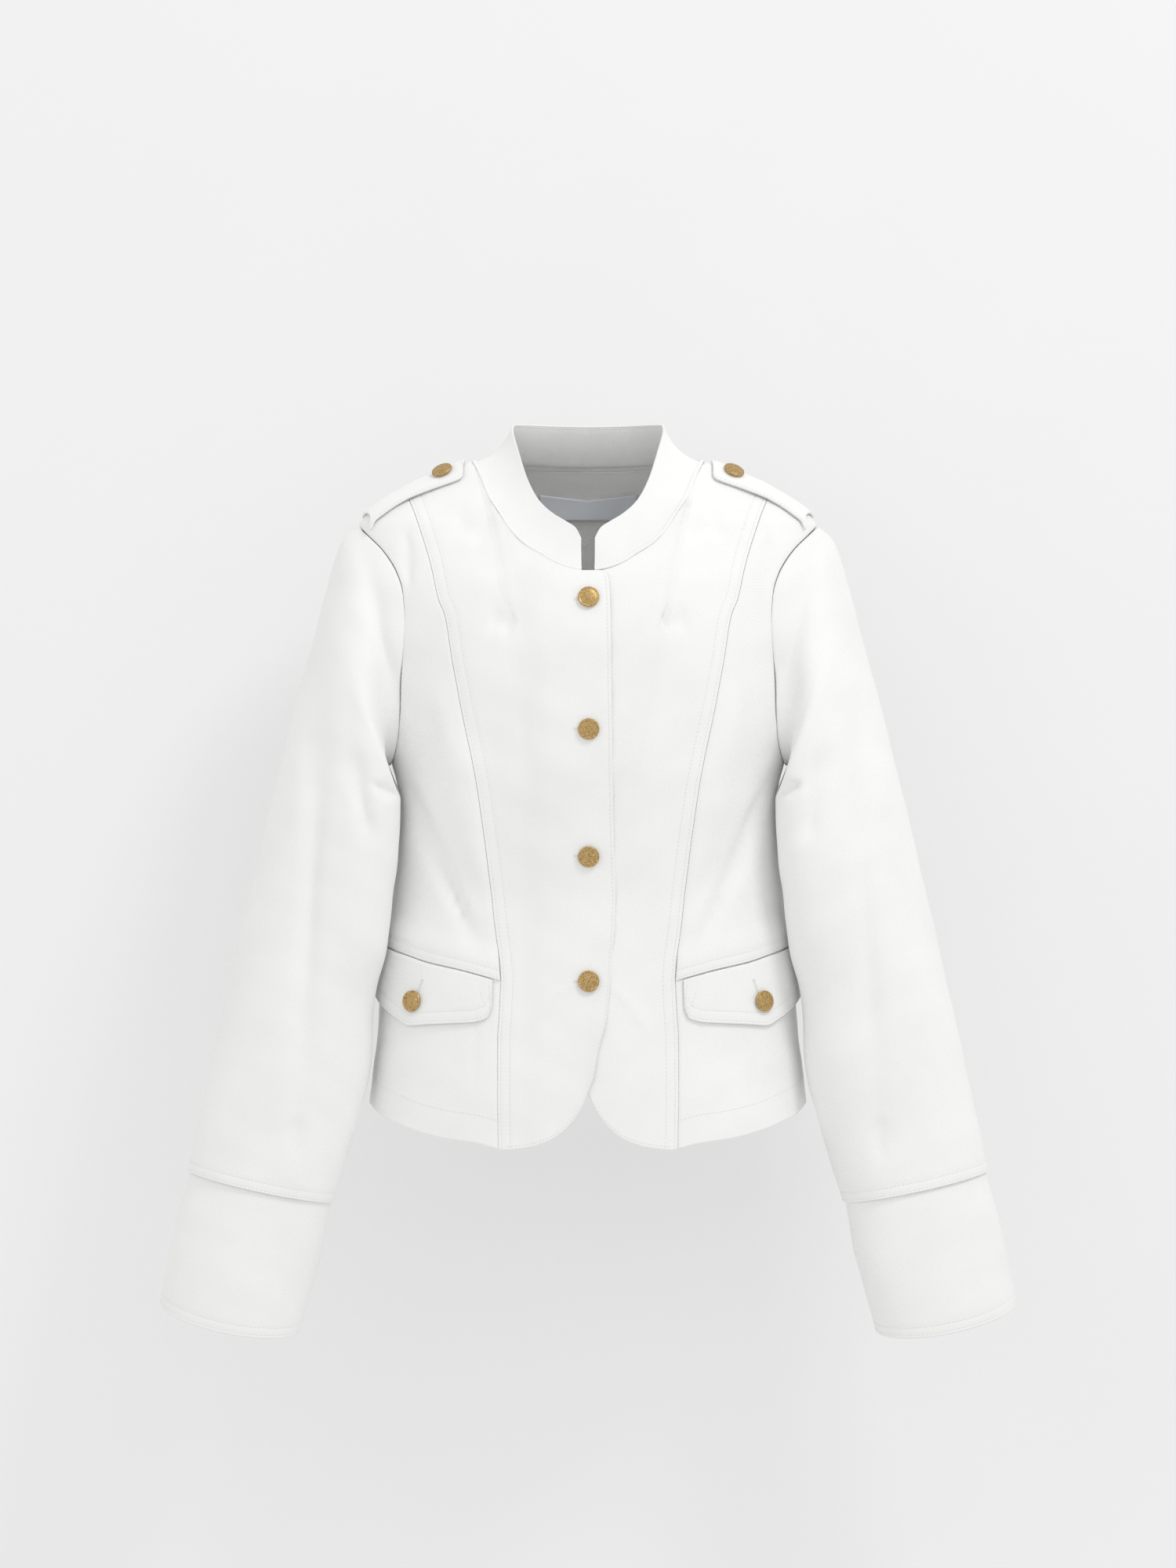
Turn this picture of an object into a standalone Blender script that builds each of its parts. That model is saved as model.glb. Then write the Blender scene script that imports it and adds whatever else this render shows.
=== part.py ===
"""Military jacket in white twill, worn form, modelled for Blender 4.5.

Sizes are in millimetres and turned into metres when a mesh is made. +Z is up, the front
faces -Y, and the wearer's right is -X. The origin lies midway between the two points where
the shoulder seams meet the neck. A place on the body form is given by how far round it lies
(0 at the centre front, 1 at the side, 2 at the centre back; minus on the wearer's right) and
by its height. Each piece of cloth is a grid of such places, given a wall's thickness.
"""

import math

import bpy
from mathutils import Vector

MM = 0.001
WALL = 1.5
SEAM_GAP = 0.3
LAYER_GAP = 0.3
LIFT = WALL + LAYER_GAP
LAP_DEPTH = 9.0
LAP_LIFT = LIFT + 0.2
OVERLAP_LIFT = LIFT + 0.5
OVERLAP_START = -54.0
OVERLAP_EASE = 22.0
LAP_EASE_START = 2.0
LAP_EASE = 20.0
UNDER_LAP_SHIFT = 0.014

# Body form, a row for each level: height, half width, depth in front and behind, squareness
FORM = [
    (-570, 179, 96, 94, 2.30),
    (-514, 174, 94, 92, 2.30),
    (-460, 168, 88, 88, 2.35),
    (-400, 163, 83, 81, 2.35),
    (-350, 157, 82, 76, 2.30),
    (-300, 152.5, 89, 79, 2.25),
    (-262, 151.5, 95, 85, 2.25),
    (-240, 156, 98, 89, 2.20),
    (-200, 165, 100, 95, 2.15),
    (-150, 173, 98, 98, 2.10),
    (-100, 180, 87, 97, 2.05),
    (-70, 183.5, 71, 90, 2.00),
    (-50, 183, 58, 82, 2.00),
    (-42, 176, 52, 79, 2.00),
    (-33, 164, 46, 76, 2.00),
    (-25.5, 151.5, 39, 73, 2.00),
    (-18.5, 139, 33, 69, 2.00),
    (-13, 126, 29, 65, 2.00),
    (-7, 113, 24, 61, 2.00),
    (-2, 101, 20, 57, 2.00),
    (2, 90, 17, 53, 2.00),
    (12, 60, 12, 44, 2.00),
]

SHOULDER_TIP = (183.0, -50.0)
NECK_POINT_HEIGHT = 1.0
UNDERARM_HEIGHT = -240.0
LOWEST_SHOULDER = -200.0
HALVINGS = 40

# Seams and edges of the wearer's left half, each row a place: across, height
PRINCESS_LOW = [(71.4, -548), (72.0, -505), (72.0, -461), (70.7, -441), (69.4, -414)]
PRINCESS_HIGH = [
    (69.4, -414), (71, -394), (73.4, -377), (77, -341), (82, -297), (88, -254), (99, -204),
    (108.5, -155), (114, -122), (119, -110), (126, -80), (133, -57), (139, -40), (146, -22.5),
]
ARMHOLE_FRONT = [
    (183, -50), (173, -60), (165, -68), (157.5, -78), (151, -90), (146.5, -105), (145, -125),
    (146, -147), (147.5, -170), (148.5, -195), (150, -217), (153, -232),
]
ARMHOLE_BACK = [
    (183, -50), (177, -62), (171, -77), (167, -97), (164, -122), (162, -150), (161, -180),
    (160, -205), (158, -225), (157, -236),
]
PRINCESS_LAP = (70.2, -404)
LAP_EDGE = [(69.4, -414), (80, -411), (100, -405.5), (127.6, -399), (145, -393), (163, -386)]
HEM_SIDE = [(71.4, -548), (87, -544), (114, -540), (134.5, -535), (155, -527), (167, -521)]
HEM_AT_SIDE = -513.0
HEM_AT_BACK = -499.0
FRONT_HEM = [(71.4, -548), (66, -549), (60, -548.5), (46, -546.5), (32, -542), (21, -535),
             (11.7, -525.5), (4.7, -514.5), (0, -503), (-4.7, -492)]
FRONT_EDGE = [
    (-4.7, -492), (-9, -468), (-14.2, -448), (-16.7, -427), (-18.6, -400), (-21, -372),
    (-22, -345), (-20.5, -300), (-19, -200), (-18, -130), (-17, -98), (-15.5, -92), (-12, -88),
]
NECKLINE = [
    (0, -88), (5, -87.8), (14, -86), (27, -81.5), (39, -74), (52, -65.5), (63, -54), (73, -39),
    (80, -28), (87, -11),
]
BACK_NECK = [(87, 0.5), (75, -1), (55, -3), (30, -4.5), (0, -5)]

# Flap of the wearer's left pocket: place round the form, bottom edge, how far it stands off
FLAP = [
    (0.262, -436, 0.0), (0.275, -444, 0.0), (0.33, -447.5, 0.2), (0.42, -448.5, 0.4),
    (0.52, -449.5, 0.5), (0.60, -450.5, 0.6), (0.69, -445, 0.8), (0.78, -438.5, 1.2),
    (0.88, -431.5, 2.0), (0.955, -425, 2.8), (0.985, -417, 3.2),
]
FLAP_WALL = 2.0
FLAP_BELOW = 0.8
FLAP_LIFT = LIFT + 0.5
FLAP_EASE = 40.0

# Collar, a row for each station from the centre back to the front end:
# place of the seam as a share of the neck curve, top edge x, y, z, and how hollow it curves
COLLAR = [
    (0.000, 0.0, 40.0, 32.0, 1.5),
    (0.130, 28.0, 37.0, 32.5, 2.0),
    (0.260, 50.0, 25.0, 33.0, 3.5),
    (0.350, 60.0, 8.0, 32.5, 5.0),
    (0.420, 61.5, -7.0, 28.5, 5.5),
    (0.510, 56.0, -25.0, 9.0, 4.0),
    (0.600, 49.0, -38.0, -12.0, 3.0),
    (0.700, 39.5, -50.0, -29.5, 2.0),
    (0.800, 28.5, -58.5, -40.0, 1.5),
    (0.900, 16.5, -65.0, -47.5, 1.0),
    (0.955, 10.0, -68.5, -52.0, 1.0),
    (1.000, 5.6, -72.0, -60.5, 0.8),
]
COLLAR_WALL = 2.0
HOLLOW_DROP = 0.8

# Sleeve of the wearer's left arm, a row for each section:
# outer and inner point x, y, z, half depth, how far the section dips in front
SLEEVE = [
    (197, 2, -63, 165, -5, -243, 55, 0),
    (208, 2, -98, 160, -26, -256, 55, 0),
    (217, 1, -133, 151, -46, -270, 53, 0),
    (229, -2, -178, 152, -50, -292, 51, 0),
    (241, -6, -224, 153.5, -50, -318, 49, 0),
    (253, -10, -272, 157, -48, -346, 48, 1),
    (267, -14, -333, 162, -44, -386, 47, 1),
    (281, -18, -394, 172.5, -36, -431, 46, 2),
    (295, -22, -455, 175.5, -34, -480, 44, 2),
    (308, -25, -514, 188, -33, -533, 41, 3),
    (319, -27, -567, 205.5, -33, -591, 39, 4),
]
SLEEVE_BLEND = [0.55, 0.25, 0.08]
ARMHOLE_DEPTH = 55.0
# Cuff, the same columns; its first section lies under the end of the sleeve
CUFF = [
    (315.0, -27, -559.2, 205.3, -33, -583.2, 36.4, 4),
    (316.8, -27, -567.5, 207.7, -33, -591.3, 36.4, 4),
    (327, -28, -603, 213, -33, -626, 37.5, 7),
    (335, -29, -640, 223, -33, -661, 37.5, 10),
    (342, -30, -673, 232, -33, -694, 37.5, 13),
]

# Epaulette: a row for each station from the neck end to the armhole:
# across at the middle, how much further out it lies at the front edge, edges in y
EPAULETTE = [
    (97.5, 2.0, -13.0, 6.0),
    (99.5, 0.5, -17.5, 9.5),
    (104, 0.0, -19.5, 11.0),
    (113, 0.0, -20.0, 11.5),
    (124, 0.0, -20.0, 11.5),
    (136, 0.0, -20.0, 11.5),
    (148, 0.0, -20.5, 11.5),
    (159, 0.0, -21.0, 11.5),
    (168, -1.5, -21.5, 11.5),
    (174, -4.0, -21.5, 11.0),
    (179, -7.0, -21.0, 10.5),
]
EPAULETTE_WALL = 2.0
EPAULETTE_LIFT = LIFT + 1.4

LABEL_HALF_WIDTH = 40.0
LABEL_TOP = -22.0
LABEL_HEIGHT = 21.0
LABEL_DIP = 5.0
LABEL_WALL = 1.0
LABEL_STAND_OFF = 1.6

BUTTON_RADIUS = 8.5
BUTTON_HEIGHT = 3.6
# Shares of the button's radius and height, from the middle of its face to its back
BUTTON_PROFILE = [(0.0, 0.55), (0.80, 0.50), (0.90, 0.68), (0.97, 0.60), (1.0, 0.38), (0.94, 0.0)]
FRONT_BUTTON_HEIGHTS = (-109.5, -213.0, -314.0, -414.5)
FRONT_BUTTON_ACROSS = 0.5
BUTTON_CLEAR = 0.5
FLAP_BUTTON_CLEAR = 0.7
FLAP_BUTTON = (137.2, -431.0)
EPAULETTE_BUTTON = (115.0, -8.0)

CLOTH_COLOR = (0.86, 0.86, 0.85)
LABEL_COLOR = (0.76, 0.80, 0.84)
BRASS_COLOR = (0.34, 0.23, 0.09)


def between(rows, place):
    """Reads a table's row at a place in its first column, on smooth curves that don't overshoot."""
    if place <= rows[0][0]:
        return rows[0][1:]
    if place >= rows[-1][0]:
        return rows[-1][1:]
    last = len(rows) - 1
    index = next(i for i in range(last) if rows[i][0] <= place <= rows[i + 1][0])
    step = rows[index + 1][0] - rows[index][0]
    share = (place - rows[index][0]) / step

    def slope(row, column):
        if row <= 0 or row >= last:
            return 0.0
        before = (rows[row][column] - rows[row - 1][column]) / (rows[row][0] - rows[row - 1][0])
        after = (rows[row + 1][column] - rows[row][column]) / (rows[row + 1][0] - rows[row][0])
        if before * after <= 0:
            return 0.0
        return 2 * before * after / (before + after)

    found = []
    for column in range(1, len(rows[0])):
        start, end = rows[index][column], rows[index + 1][column]
        grow = step * slope(index, column)
        settle = step * slope(index + 1, column)
        square, cube = share ** 2, share ** 3
        found.append((2 * cube - 3 * square + 1) * start + (cube - 2 * square + share) * grow
                     + (3 * square - 2 * cube) * end + (cube - square) * settle)
    return found


def form_point(around, height):
    """The body form's surface at a place round it and a height."""
    half_width, front, back, squareness = between(FORM, height)
    angle = around * math.pi / 2
    power = 2 / squareness
    across, along = math.sin(angle), math.cos(angle)
    depth = front if along > 0 else back
    x = half_width * math.copysign(abs(across) ** power, across)
    y = -depth * math.copysign(abs(along) ** power, along)
    return Vector((x, y, height))


def form_normal(around, height):
    """The outward direction of the body form there."""
    side, rise = 0.004, 0.6
    level = form_point(around + side, height) - form_point(around - side, height)
    upward = form_point(around, height + rise) - form_point(around, height - rise)
    return level.cross(upward).normalized()


def around_at(across, height, behind=False):
    """How far round the form a distance across lies, on its front or its back."""
    half_width, _, _, squareness = between(FORM, height)
    share = min(1.0, abs(across) / half_width) ** (squareness / 2)
    turn = math.asin(share) / (math.pi / 2)
    if behind:
        turn = 2 - turn
    return math.copysign(turn, across)


def height_at(x, y):
    """The height of the form's upper surface above a point, found by halving."""
    low, high = LOWEST_SHOULDER, FORM[-1][0]
    for _ in range(HALVINGS):
        middle = (low + high) / 2
        half_width, front, back, squareness = between(FORM, middle)
        depth = front if y < 0 else back
        inside = (abs(x) / half_width) ** squareness + (abs(y) / depth) ** squareness < 1
        if inside:
            low = middle
        else:
            high = middle
    return low


def places(rows, behind=False):
    """Turns a table of across and height into places on the form."""
    return [(around_at(across, height, behind), height) for across, height in rows]


def spread(points, count):
    """Spreads count + 1 places evenly along a line of places, measured on the form."""
    lengths = [0.0]
    for first, second in zip(points, points[1:]):
        lengths.append(lengths[-1] + (form_point(*second) - form_point(*first)).length)
    found = []
    for number in range(count + 1):
        target = lengths[-1] * number / count
        index = 0
        while index < len(points) - 2 and lengths[index + 1] < target:
            index += 1
        share = (target - lengths[index]) / (lengths[index + 1] - lengths[index])
        found.append(tuple(a + (b - a) * share for a, b in zip(points[index], points[index + 1])))
    return found


def patch(bottom, top, left, right, behind=False):
    """Fills four sides of places with a grid, rows from the bottom and columns from the left.

    The filling is even as seen from the front, so that shoulders and sides don't fold."""
    columns, rows = len(bottom) - 1, len(left) - 1
    low, high, near, far = [[(form_point(*place).x, place[1]) for place in line]
                            for line in (bottom, top, left, right)]
    grid = []
    for j in range(rows + 1):
        up = j / rows
        line = []
        for i in range(columns + 1):
            over = i / columns
            seen = [(1 - up) * low[i][k] + up * high[i][k]
                    + (1 - over) * near[j][k] + over * far[j][k]
                    - (1 - up) * (1 - over) * low[0][k] - (1 - up) * over * low[-1][k]
                    - up * (1 - over) * high[0][k] - up * over * high[-1][k]
                    for k in (0, 1)]
            line.append((around_at(seen[0], seen[1], behind), seen[1]))
        line[0], line[-1] = left[j], right[j]
        grid.append(line)
    grid[0], grid[-1] = list(bottom), list(top)
    return grid


def mirrored(grid):
    """The same grid of places on the other half of the form."""
    return [[(-around, height) for around, height in reversed(line)] for line in grid]


def on_form(grid, lift=lambda around, height: 0.0):
    """Points and outward directions of a grid of places, moved out by lift."""
    points, normals = [], []
    for line in grid:
        directions = [form_normal(*place) for place in line]
        normals.append(directions)
        points.append([form_point(*place) + direction * lift(*place)
                       for place, direction in zip(line, directions)])
    return points, normals


def grid_normals(points, closed):
    """Outward directions of a grid whose rows go up and whose columns go to the viewer's right."""
    rows, columns = len(points), len(points[0])
    found = []
    for j in range(rows):
        line = []
        for i in range(columns):
            after = (i + 1) % columns if closed else min(i + 1, columns - 1)
            before = (i - 1) % columns if closed else max(i - 1, 0)
            level = points[j][after] - points[j][before]
            upward = points[min(j + 1, rows - 1)][i] - points[max(j - 1, 0)][i]
            line.append(level.cross(upward).normalized())
        found.append(line)
    return found


def drawn_back(points, closed):
    """Draws a grid's free edges back by half the gap that seams keep."""
    moved = [[point.copy() for point in line] for line in points]
    half = SEAM_GAP / 2
    columns = len(points[0])
    for edge, inner in ((0, 1), (-1, -2)):
        for i in range(columns):
            moved[edge][i] += (points[inner][i] - points[edge][i]).normalized() * half
        if not closed:
            for j, line in enumerate(points):
                moved[j][edge] += (line[inner] - line[edge]).normalized() * half
    return moved


def cloth(name, points, normals, material, wall=WALL, closed=False):
    """Makes one closed wall of cloth from a grid: an outer face, an inner face and its edges."""
    points = drawn_back(points, closed)
    rows, columns = len(points), len(points[0])
    outer = [point + normal * wall for line, along in zip(points, normals)
             for point, normal in zip(line, along)]
    inner = [point for line in points for point in line]
    inside = len(outer)

    def number(j, i):
        return j * columns + i % columns

    faces = []
    across = columns if closed else columns - 1
    for j in range(rows - 1):
        for i in range(across):
            loop = [number(j, i), number(j, i + 1), number(j + 1, i + 1), number(j + 1, i)]
            faces.append(loop)
            faces.append([inside + corner for corner in reversed(loop)])
    for i in range(across):
        low, low_next = number(0, i), number(0, i + 1)
        high, high_next = number(rows - 1, i), number(rows - 1, i + 1)
        faces.append([low_next, low, inside + low, inside + low_next])
        faces.append([high, high_next, inside + high_next, inside + high])
    if not closed:
        for j in range(rows - 1):
            low, high = number(j, 0), number(j + 1, 0)
            faces.append([low, high, inside + high, inside + low])
            low, high = number(j, columns - 1), number(j + 1, columns - 1)
            faces.append([high, low, inside + low, inside + high])
    mesh = bpy.data.meshes.new(name)
    mesh.from_pydata([point * MM for point in outer + inner], [], faces)
    mesh.shade_smooth()
    mesh.set_sharp_from_angle(angle=math.radians(40))
    return place_piece(name, mesh, material)


def place_piece(name, mesh, material):
    """Links a mesh to the jacket's collection under its piece's name."""
    mesh.materials.append(material)
    piece = bpy.data.objects.new(name, mesh)
    JACKET.objects.link(piece)
    return piece


def finish(name, color, roughness, metallic):
    """A plain material of one colour."""
    material = bpy.data.materials.new(name)
    material.use_nodes = True
    shader = material.node_tree.nodes["Principled BSDF"]
    shader.inputs["Base Color"].default_value = (*color, 1)
    shader.inputs["Roughness"].default_value = roughness
    shader.inputs["Metallic"].default_value = metallic
    return material


def smooth(share):
    """Eases from 0 to 1."""
    share = max(0.0, min(1.0, share))
    return share * share * (3 - 2 * share)


def overlap_lift(around, height):
    """How far the upper front stands off where it lies over the other front."""
    across = form_point(around, height).x
    return OVERLAP_LIFT * smooth((across - OVERLAP_START) / OVERLAP_EASE)


def height_on(rows, across):
    """The height of a line of the left half at a distance across."""
    return between([tuple(row) for row in rows], across)[0]


def lap_lift(around, height):
    """How far the side front stands off where it laps over the skirt."""
    across = abs(form_point(around, height).x)
    above = height - height_on(LAP_EDGE, across)
    return LAP_LIFT * (1 - smooth((above - LAP_DEPTH - LAP_EASE_START) / LAP_EASE))


SHOULDER_COLUMNS = 3
NECK_COLUMNS = 7
OVERLAP_COLUMNS = 1
LOW_ROWS = 6
SIDE_SEAM_ROWS = 6
ARM_STEPS = 12
SIDE_COLUMNS = 7
BACK_SHOULDER_COLUMNS = 5
BACK_NECK_COLUMNS = 5


def seam_tables():
    """The seams that two pieces share, sampled once so that both follow the same points."""
    princess_low = spread(places(PRINCESS_LOW), LOW_ROWS)
    princess_high = places(PRINCESS_HIGH[:-1]) + [(1.0, PRINCESS_HIGH[-1][1])]
    princess_high = spread(princess_high, SIDE_SEAM_ROWS + ARM_STEPS)
    princess_high.insert(1, places([PRINCESS_LAP])[0])
    arm_front = places(ARMHOLE_FRONT[1:])
    arm_front = [(1.0, SHOULDER_TIP[1])] + arm_front + [(1.0, UNDERARM_HEIGHT)]
    arm_back = places(ARMHOLE_BACK[1:], behind=True)
    arm_back = [(1.0, SHOULDER_TIP[1])] + arm_back + [(1.0, UNDERARM_HEIGHT)]
    side_low = [(1.0, HEM_AT_SIDE), (1.0, LAP_EDGE[-1][1])]
    side_high = spread([(1.0, LAP_EDGE[-1][1]), (1.0, UNDERARM_HEIGHT)], SIDE_SEAM_ROWS)
    side_high.insert(1, (1.0, LAP_EDGE[-1][1] + LAP_DEPTH + 1))
    neck_point = (1.0, NECK_POINT_HEIGHT)
    neck_front = [neck_point] + list(reversed(places(NECKLINE[1:])))
    neck_back = [neck_point] + places(BACK_NECK[1:-1], behind=True) + [(2.0, BACK_NECK[-1][1])]
    return {
        "princess_low": princess_low,
        "princess_high": princess_high,
        "arm_front": spread(arm_front, ARM_STEPS),
        "arm_back": spread(arm_back, ARM_STEPS),
        "side_low": spread(side_low, LOW_ROWS),
        "side_high": side_high,
        "lap": spread(places(LAP_EDGE[:-1]) + [(1.0, LAP_EDGE[-1][1])], SIDE_COLUMNS),
        "neck_front": spread(neck_front, NECK_COLUMNS),
        "neck_back": spread(neck_back, BACK_NECK_COLUMNS),
    }


def front_grid(seams):
    """The wearer's left front, from its edge to the princess seam."""
    right = seams["princess_low"] + seams["princess_high"][1:]
    shoulder = spread([(1.0, PRINCESS_HIGH[-1][1]), (1.0, NECK_POINT_HEIGHT)], SHOULDER_COLUMNS)
    edge_top = places(FRONT_EDGE[-1:])
    overlap = spread(seams["neck_front"][-1:] + edge_top, OVERLAP_COLUMNS)
    top = shoulder + seams["neck_front"][1:] + overlap[1:]
    bottom = spread(places(FRONT_HEM), len(top) - 1)
    edge = spread(places(FRONT_EDGE), len(right) - 1)
    return patch(list(reversed(bottom)), list(reversed(top)), edge, right)


def side_front_grid(seams):
    """The left side front, from the princess seam to the side seam and armhole."""
    right = seams["side_high"] + list(reversed(seams["arm_front"]))[1:]
    left = seams["princess_high"]
    top = spread([(1.0, PRINCESS_HIGH[-1][1]), (1.0, SHOULDER_TIP[1])], SIDE_COLUMNS)
    return patch(seams["lap"], top, left, right)


def skirt_grid(seams):
    """The left lower side front; its top edge lies under the lap."""
    bottom = spread(places(HEM_SIDE) + [(1.0, HEM_AT_SIDE)], SIDE_COLUMNS)
    main = patch(bottom, seams["lap"], seams["princess_low"], seams["side_low"])
    under = [(around + UNDER_LAP_SHIFT * (1 - around), height + LAP_DEPTH)
             for around, height in seams["lap"]]
    return main + [under]


def back_grid(seams):
    """The whole back, from the wearer's left side seam round to the right one."""
    side = seams["side_low"] + seams["side_high"][1:] + list(reversed(seams["arm_back"]))[1:]
    shoulder = [(1.0, SHOULDER_TIP[1]), (1.0, NECK_POINT_HEIGHT)]
    top = spread(shoulder, BACK_SHOULDER_COLUMNS) + seams["neck_back"][1:]
    hem = [(1.0, HEM_AT_SIDE), (1.5, HEM_AT_BACK - 2), (2.0, HEM_AT_BACK)]
    hem = spread(hem, len(top) - 1)
    middle = spread([(2.0, HEM_AT_BACK), (2.0, BACK_NECK[-1][1])], len(side) - 1)
    grid = patch(hem, top, side, middle, behind=True)
    return [line + [(4 - around, height) for around, height in reversed(line[:-1])]
            for line in grid]


def lap_height(seams, around):
    """The height of the lap edge at a place round the form."""
    lap = seams["lap"]
    index = 0
    while index < len(lap) - 2 and lap[index + 1][0] < around:
        index += 1
    share = (around - lap[index][0]) / (lap[index + 1][0] - lap[index][0])
    return lap[index][1] + (lap[index + 1][1] - lap[index][1]) * share


def flap_grid(seams):
    """The left pocket flap hangs from just under the lap edge."""
    rows = 3
    grid = []
    for j in range(rows + 1):
        line = []
        for around, bottom, _ in FLAP:
            top = lap_height(seams, around) - FLAP_BELOW
            line.append((around, bottom + (top - bottom) * j / rows))
        grid.append(line)
    return grid


def flap_lift(around, height):
    """How far the flap stands off the skirt, most at its free lower edge by the side seam."""
    stand_off = between([(row[0], row[2]) for row in FLAP], abs(around))[0]
    top = height_on(LAP_EDGE, abs(form_point(around, height).x))
    return FLAP_LIFT + stand_off * smooth((top - height) / FLAP_EASE)


def make_panels(materials):
    """Fronts, side fronts, skirts, flaps and the back."""
    cloth_material = materials["cloth"]
    seams = seam_tables()
    shared = {
        "front": (front_grid(seams), {"left": None, "right": overlap_lift}, WALL),
        "side_front": (side_front_grid(seams), {"left": lap_lift, "right": lap_lift}, WALL),
        "skirt": (skirt_grid(seams), {"left": None, "right": None}, WALL),
        "flap": (flap_grid(seams), {"left": flap_lift, "right": flap_lift}, FLAP_WALL),
    }
    for piece, (grid, lifts, wall) in shared.items():
        for side, lift in lifts.items():
            chosen = grid if side == "left" else mirrored(grid)
            points, normals = on_form(chosen, lift or (lambda around, height: 0.0))
            cloth(f"{piece}_{side}", points, normals, cloth_material, wall)
    points, normals = on_form(back_grid(seams))
    cloth("back", points, normals, cloth_material)
    return seams


def section(row, count):
    """A sleeve's section on the left arm: from its outer point forward to the inner one."""
    outer, inner = Vector(row[0:3]), Vector(row[3:6])
    half_depth, dip = row[6:8]
    middle, reach = (outer + inner) / 2, (outer - inner) / 2
    ring = []
    for number in range(count):
        angle = 2 * math.pi * number / count
        forward = math.sin(angle)
        ring.append(middle + reach * math.cos(angle)
                    + Vector((0, -half_depth * forward, -dip * forward)))
    return ring


def make_sleeves(seams, materials):
    """Each sleeve runs from its armhole to a lapped edge, with a cuff beneath the lap."""
    count = 2 * ARM_STEPS
    armhole = [form_point(*place) for place in seams["arm_front"]]
    armhole += [form_point(*place) for place in reversed(seams["arm_back"][1:-1])]
    directions = [form_normal(*place) for place in seams["arm_front"]]
    directions += [form_normal(*place) for place in reversed(seams["arm_back"][1:-1])]
    tip, under = armhole[0], armhole[ARM_STEPS]
    plain = section((*tip, *under, ARMHOLE_DEPTH, 0), count)
    rings = [armhole]
    for index, row in enumerate(SLEEVE):
        ring = section(row, count)
        if index < len(SLEEVE_BLEND):
            keep = SLEEVE_BLEND[index]
            ring = [point + (seam - base) * keep
                    for point, seam, base in zip(ring, armhole, plain)]
        rings.append(ring)
    rings.reverse()
    cuff = [section(row, count) for row in reversed(CUFF)]
    for side in ("left", "right"):
        for name, tube in (("sleeve", rings), ("cuff", cuff)):
            points = tube
            seam_directions = directions
            if side == "right":
                points = [mirror_ring(ring) for ring in tube]
                seam_directions = mirror_ring(directions)
            points = [list(reversed(ring)) for ring in points]
            normals = grid_normals(points, closed=True)
            if name == "sleeve":
                clear_seam(points, normals[-1], list(reversed(seam_directions)))
            cloth(f"{name}_{side}", points, normals, materials["cloth"], closed=True)


def clear_seam(points, normals, panel_normals):
    """Draws a sleeve's top back where its wall turns away from the panel at the armhole."""
    seam, below = points[-1], points[-2]
    for i, (normal, panel_normal) in enumerate(zip(normals, panel_normals)):
        turn = normal.cross(panel_normal).length if normal.dot(panel_normal) > 0 else 1.0
        seam[i] = seam[i] + (below[i] - seam[i]).normalized() * (2 * SEAM_GAP + (WALL + SEAM_GAP) * turn)


def mirror_ring(ring):
    """A ring on the other arm, in the order that keeps its faces outward."""
    return [Vector((-point.x, point.y, point.z)) for point in [ring[0]] + ring[:0:-1]]


def both_halves(line):
    """A line from the left front end to the centre back, continued round to the right end."""
    other = [Vector((-vector.x, vector.y, vector.z)) for vector in reversed(line[:-1])]
    return list(line) + other


def make_collar(seams, materials):
    """A stand collar that flares to the neck seam and leaves a small gap at the front."""
    rows = 5
    seam = list(reversed(seams["neck_back"])) + seams["neck_front"][1:]
    feet = [form_point(*place) for place in seam]
    lengths = [0.0]
    for first, second in zip(feet, feet[1:]):
        lengths.append(lengths[-1] + (second - first).length)
    columns = []
    for foot, length in zip(feet, lengths):
        top_x, top_y, top_z, hollow = between(COLLAR, length / lengths[-1])
        top = Vector((top_x, top_y, top_z))
        hollow_way = Vector((-foot.x, -foot.y, 0)).normalized() - Vector((0, 0, HOLLOW_DROP))
        column = []
        for j in range(rows + 1):
            up = j / rows
            column.append(foot.lerp(top, up) + hollow_way * (3 * up * (1 - up) * hollow))
        columns.append(column)
    grid = [both_halves(list(reversed(line))) for line in zip(*columns)]
    normals = grid_normals(grid, closed=False)
    normals[0] = both_halves([form_normal(*place) for place in reversed(seam)])
    cloth("collar", grid, normals, materials["cloth"], COLLAR_WALL)


def make_epaulettes(materials):
    """A strap over each shoulder, from near the neck to the armhole."""
    across_steps = 5
    for side, sign in (("left", 1), ("right", -1)):
        points, normals = [], []
        for middle, further, front, back in EPAULETTE:
            line, along = [], []
            for number in range(across_steps + 1):
                share = number / across_steps
                y = back + (front - back) * share
                x = middle + further * smooth(share)
                height = height_at(x, y)
                direction = form_normal(around_at(sign * x, height, behind=y > 0), height)
                line.append(Vector((sign * x, y, height)) + direction * EPAULETTE_LIFT)
                along.append(direction)
            points.append(line if sign > 0 else line[::-1])
            normals.append(along if sign > 0 else along[::-1])
        cloth(f"epaulette_{side}", points, normals, materials["cloth"], EPAULETTE_WALL)


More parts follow.
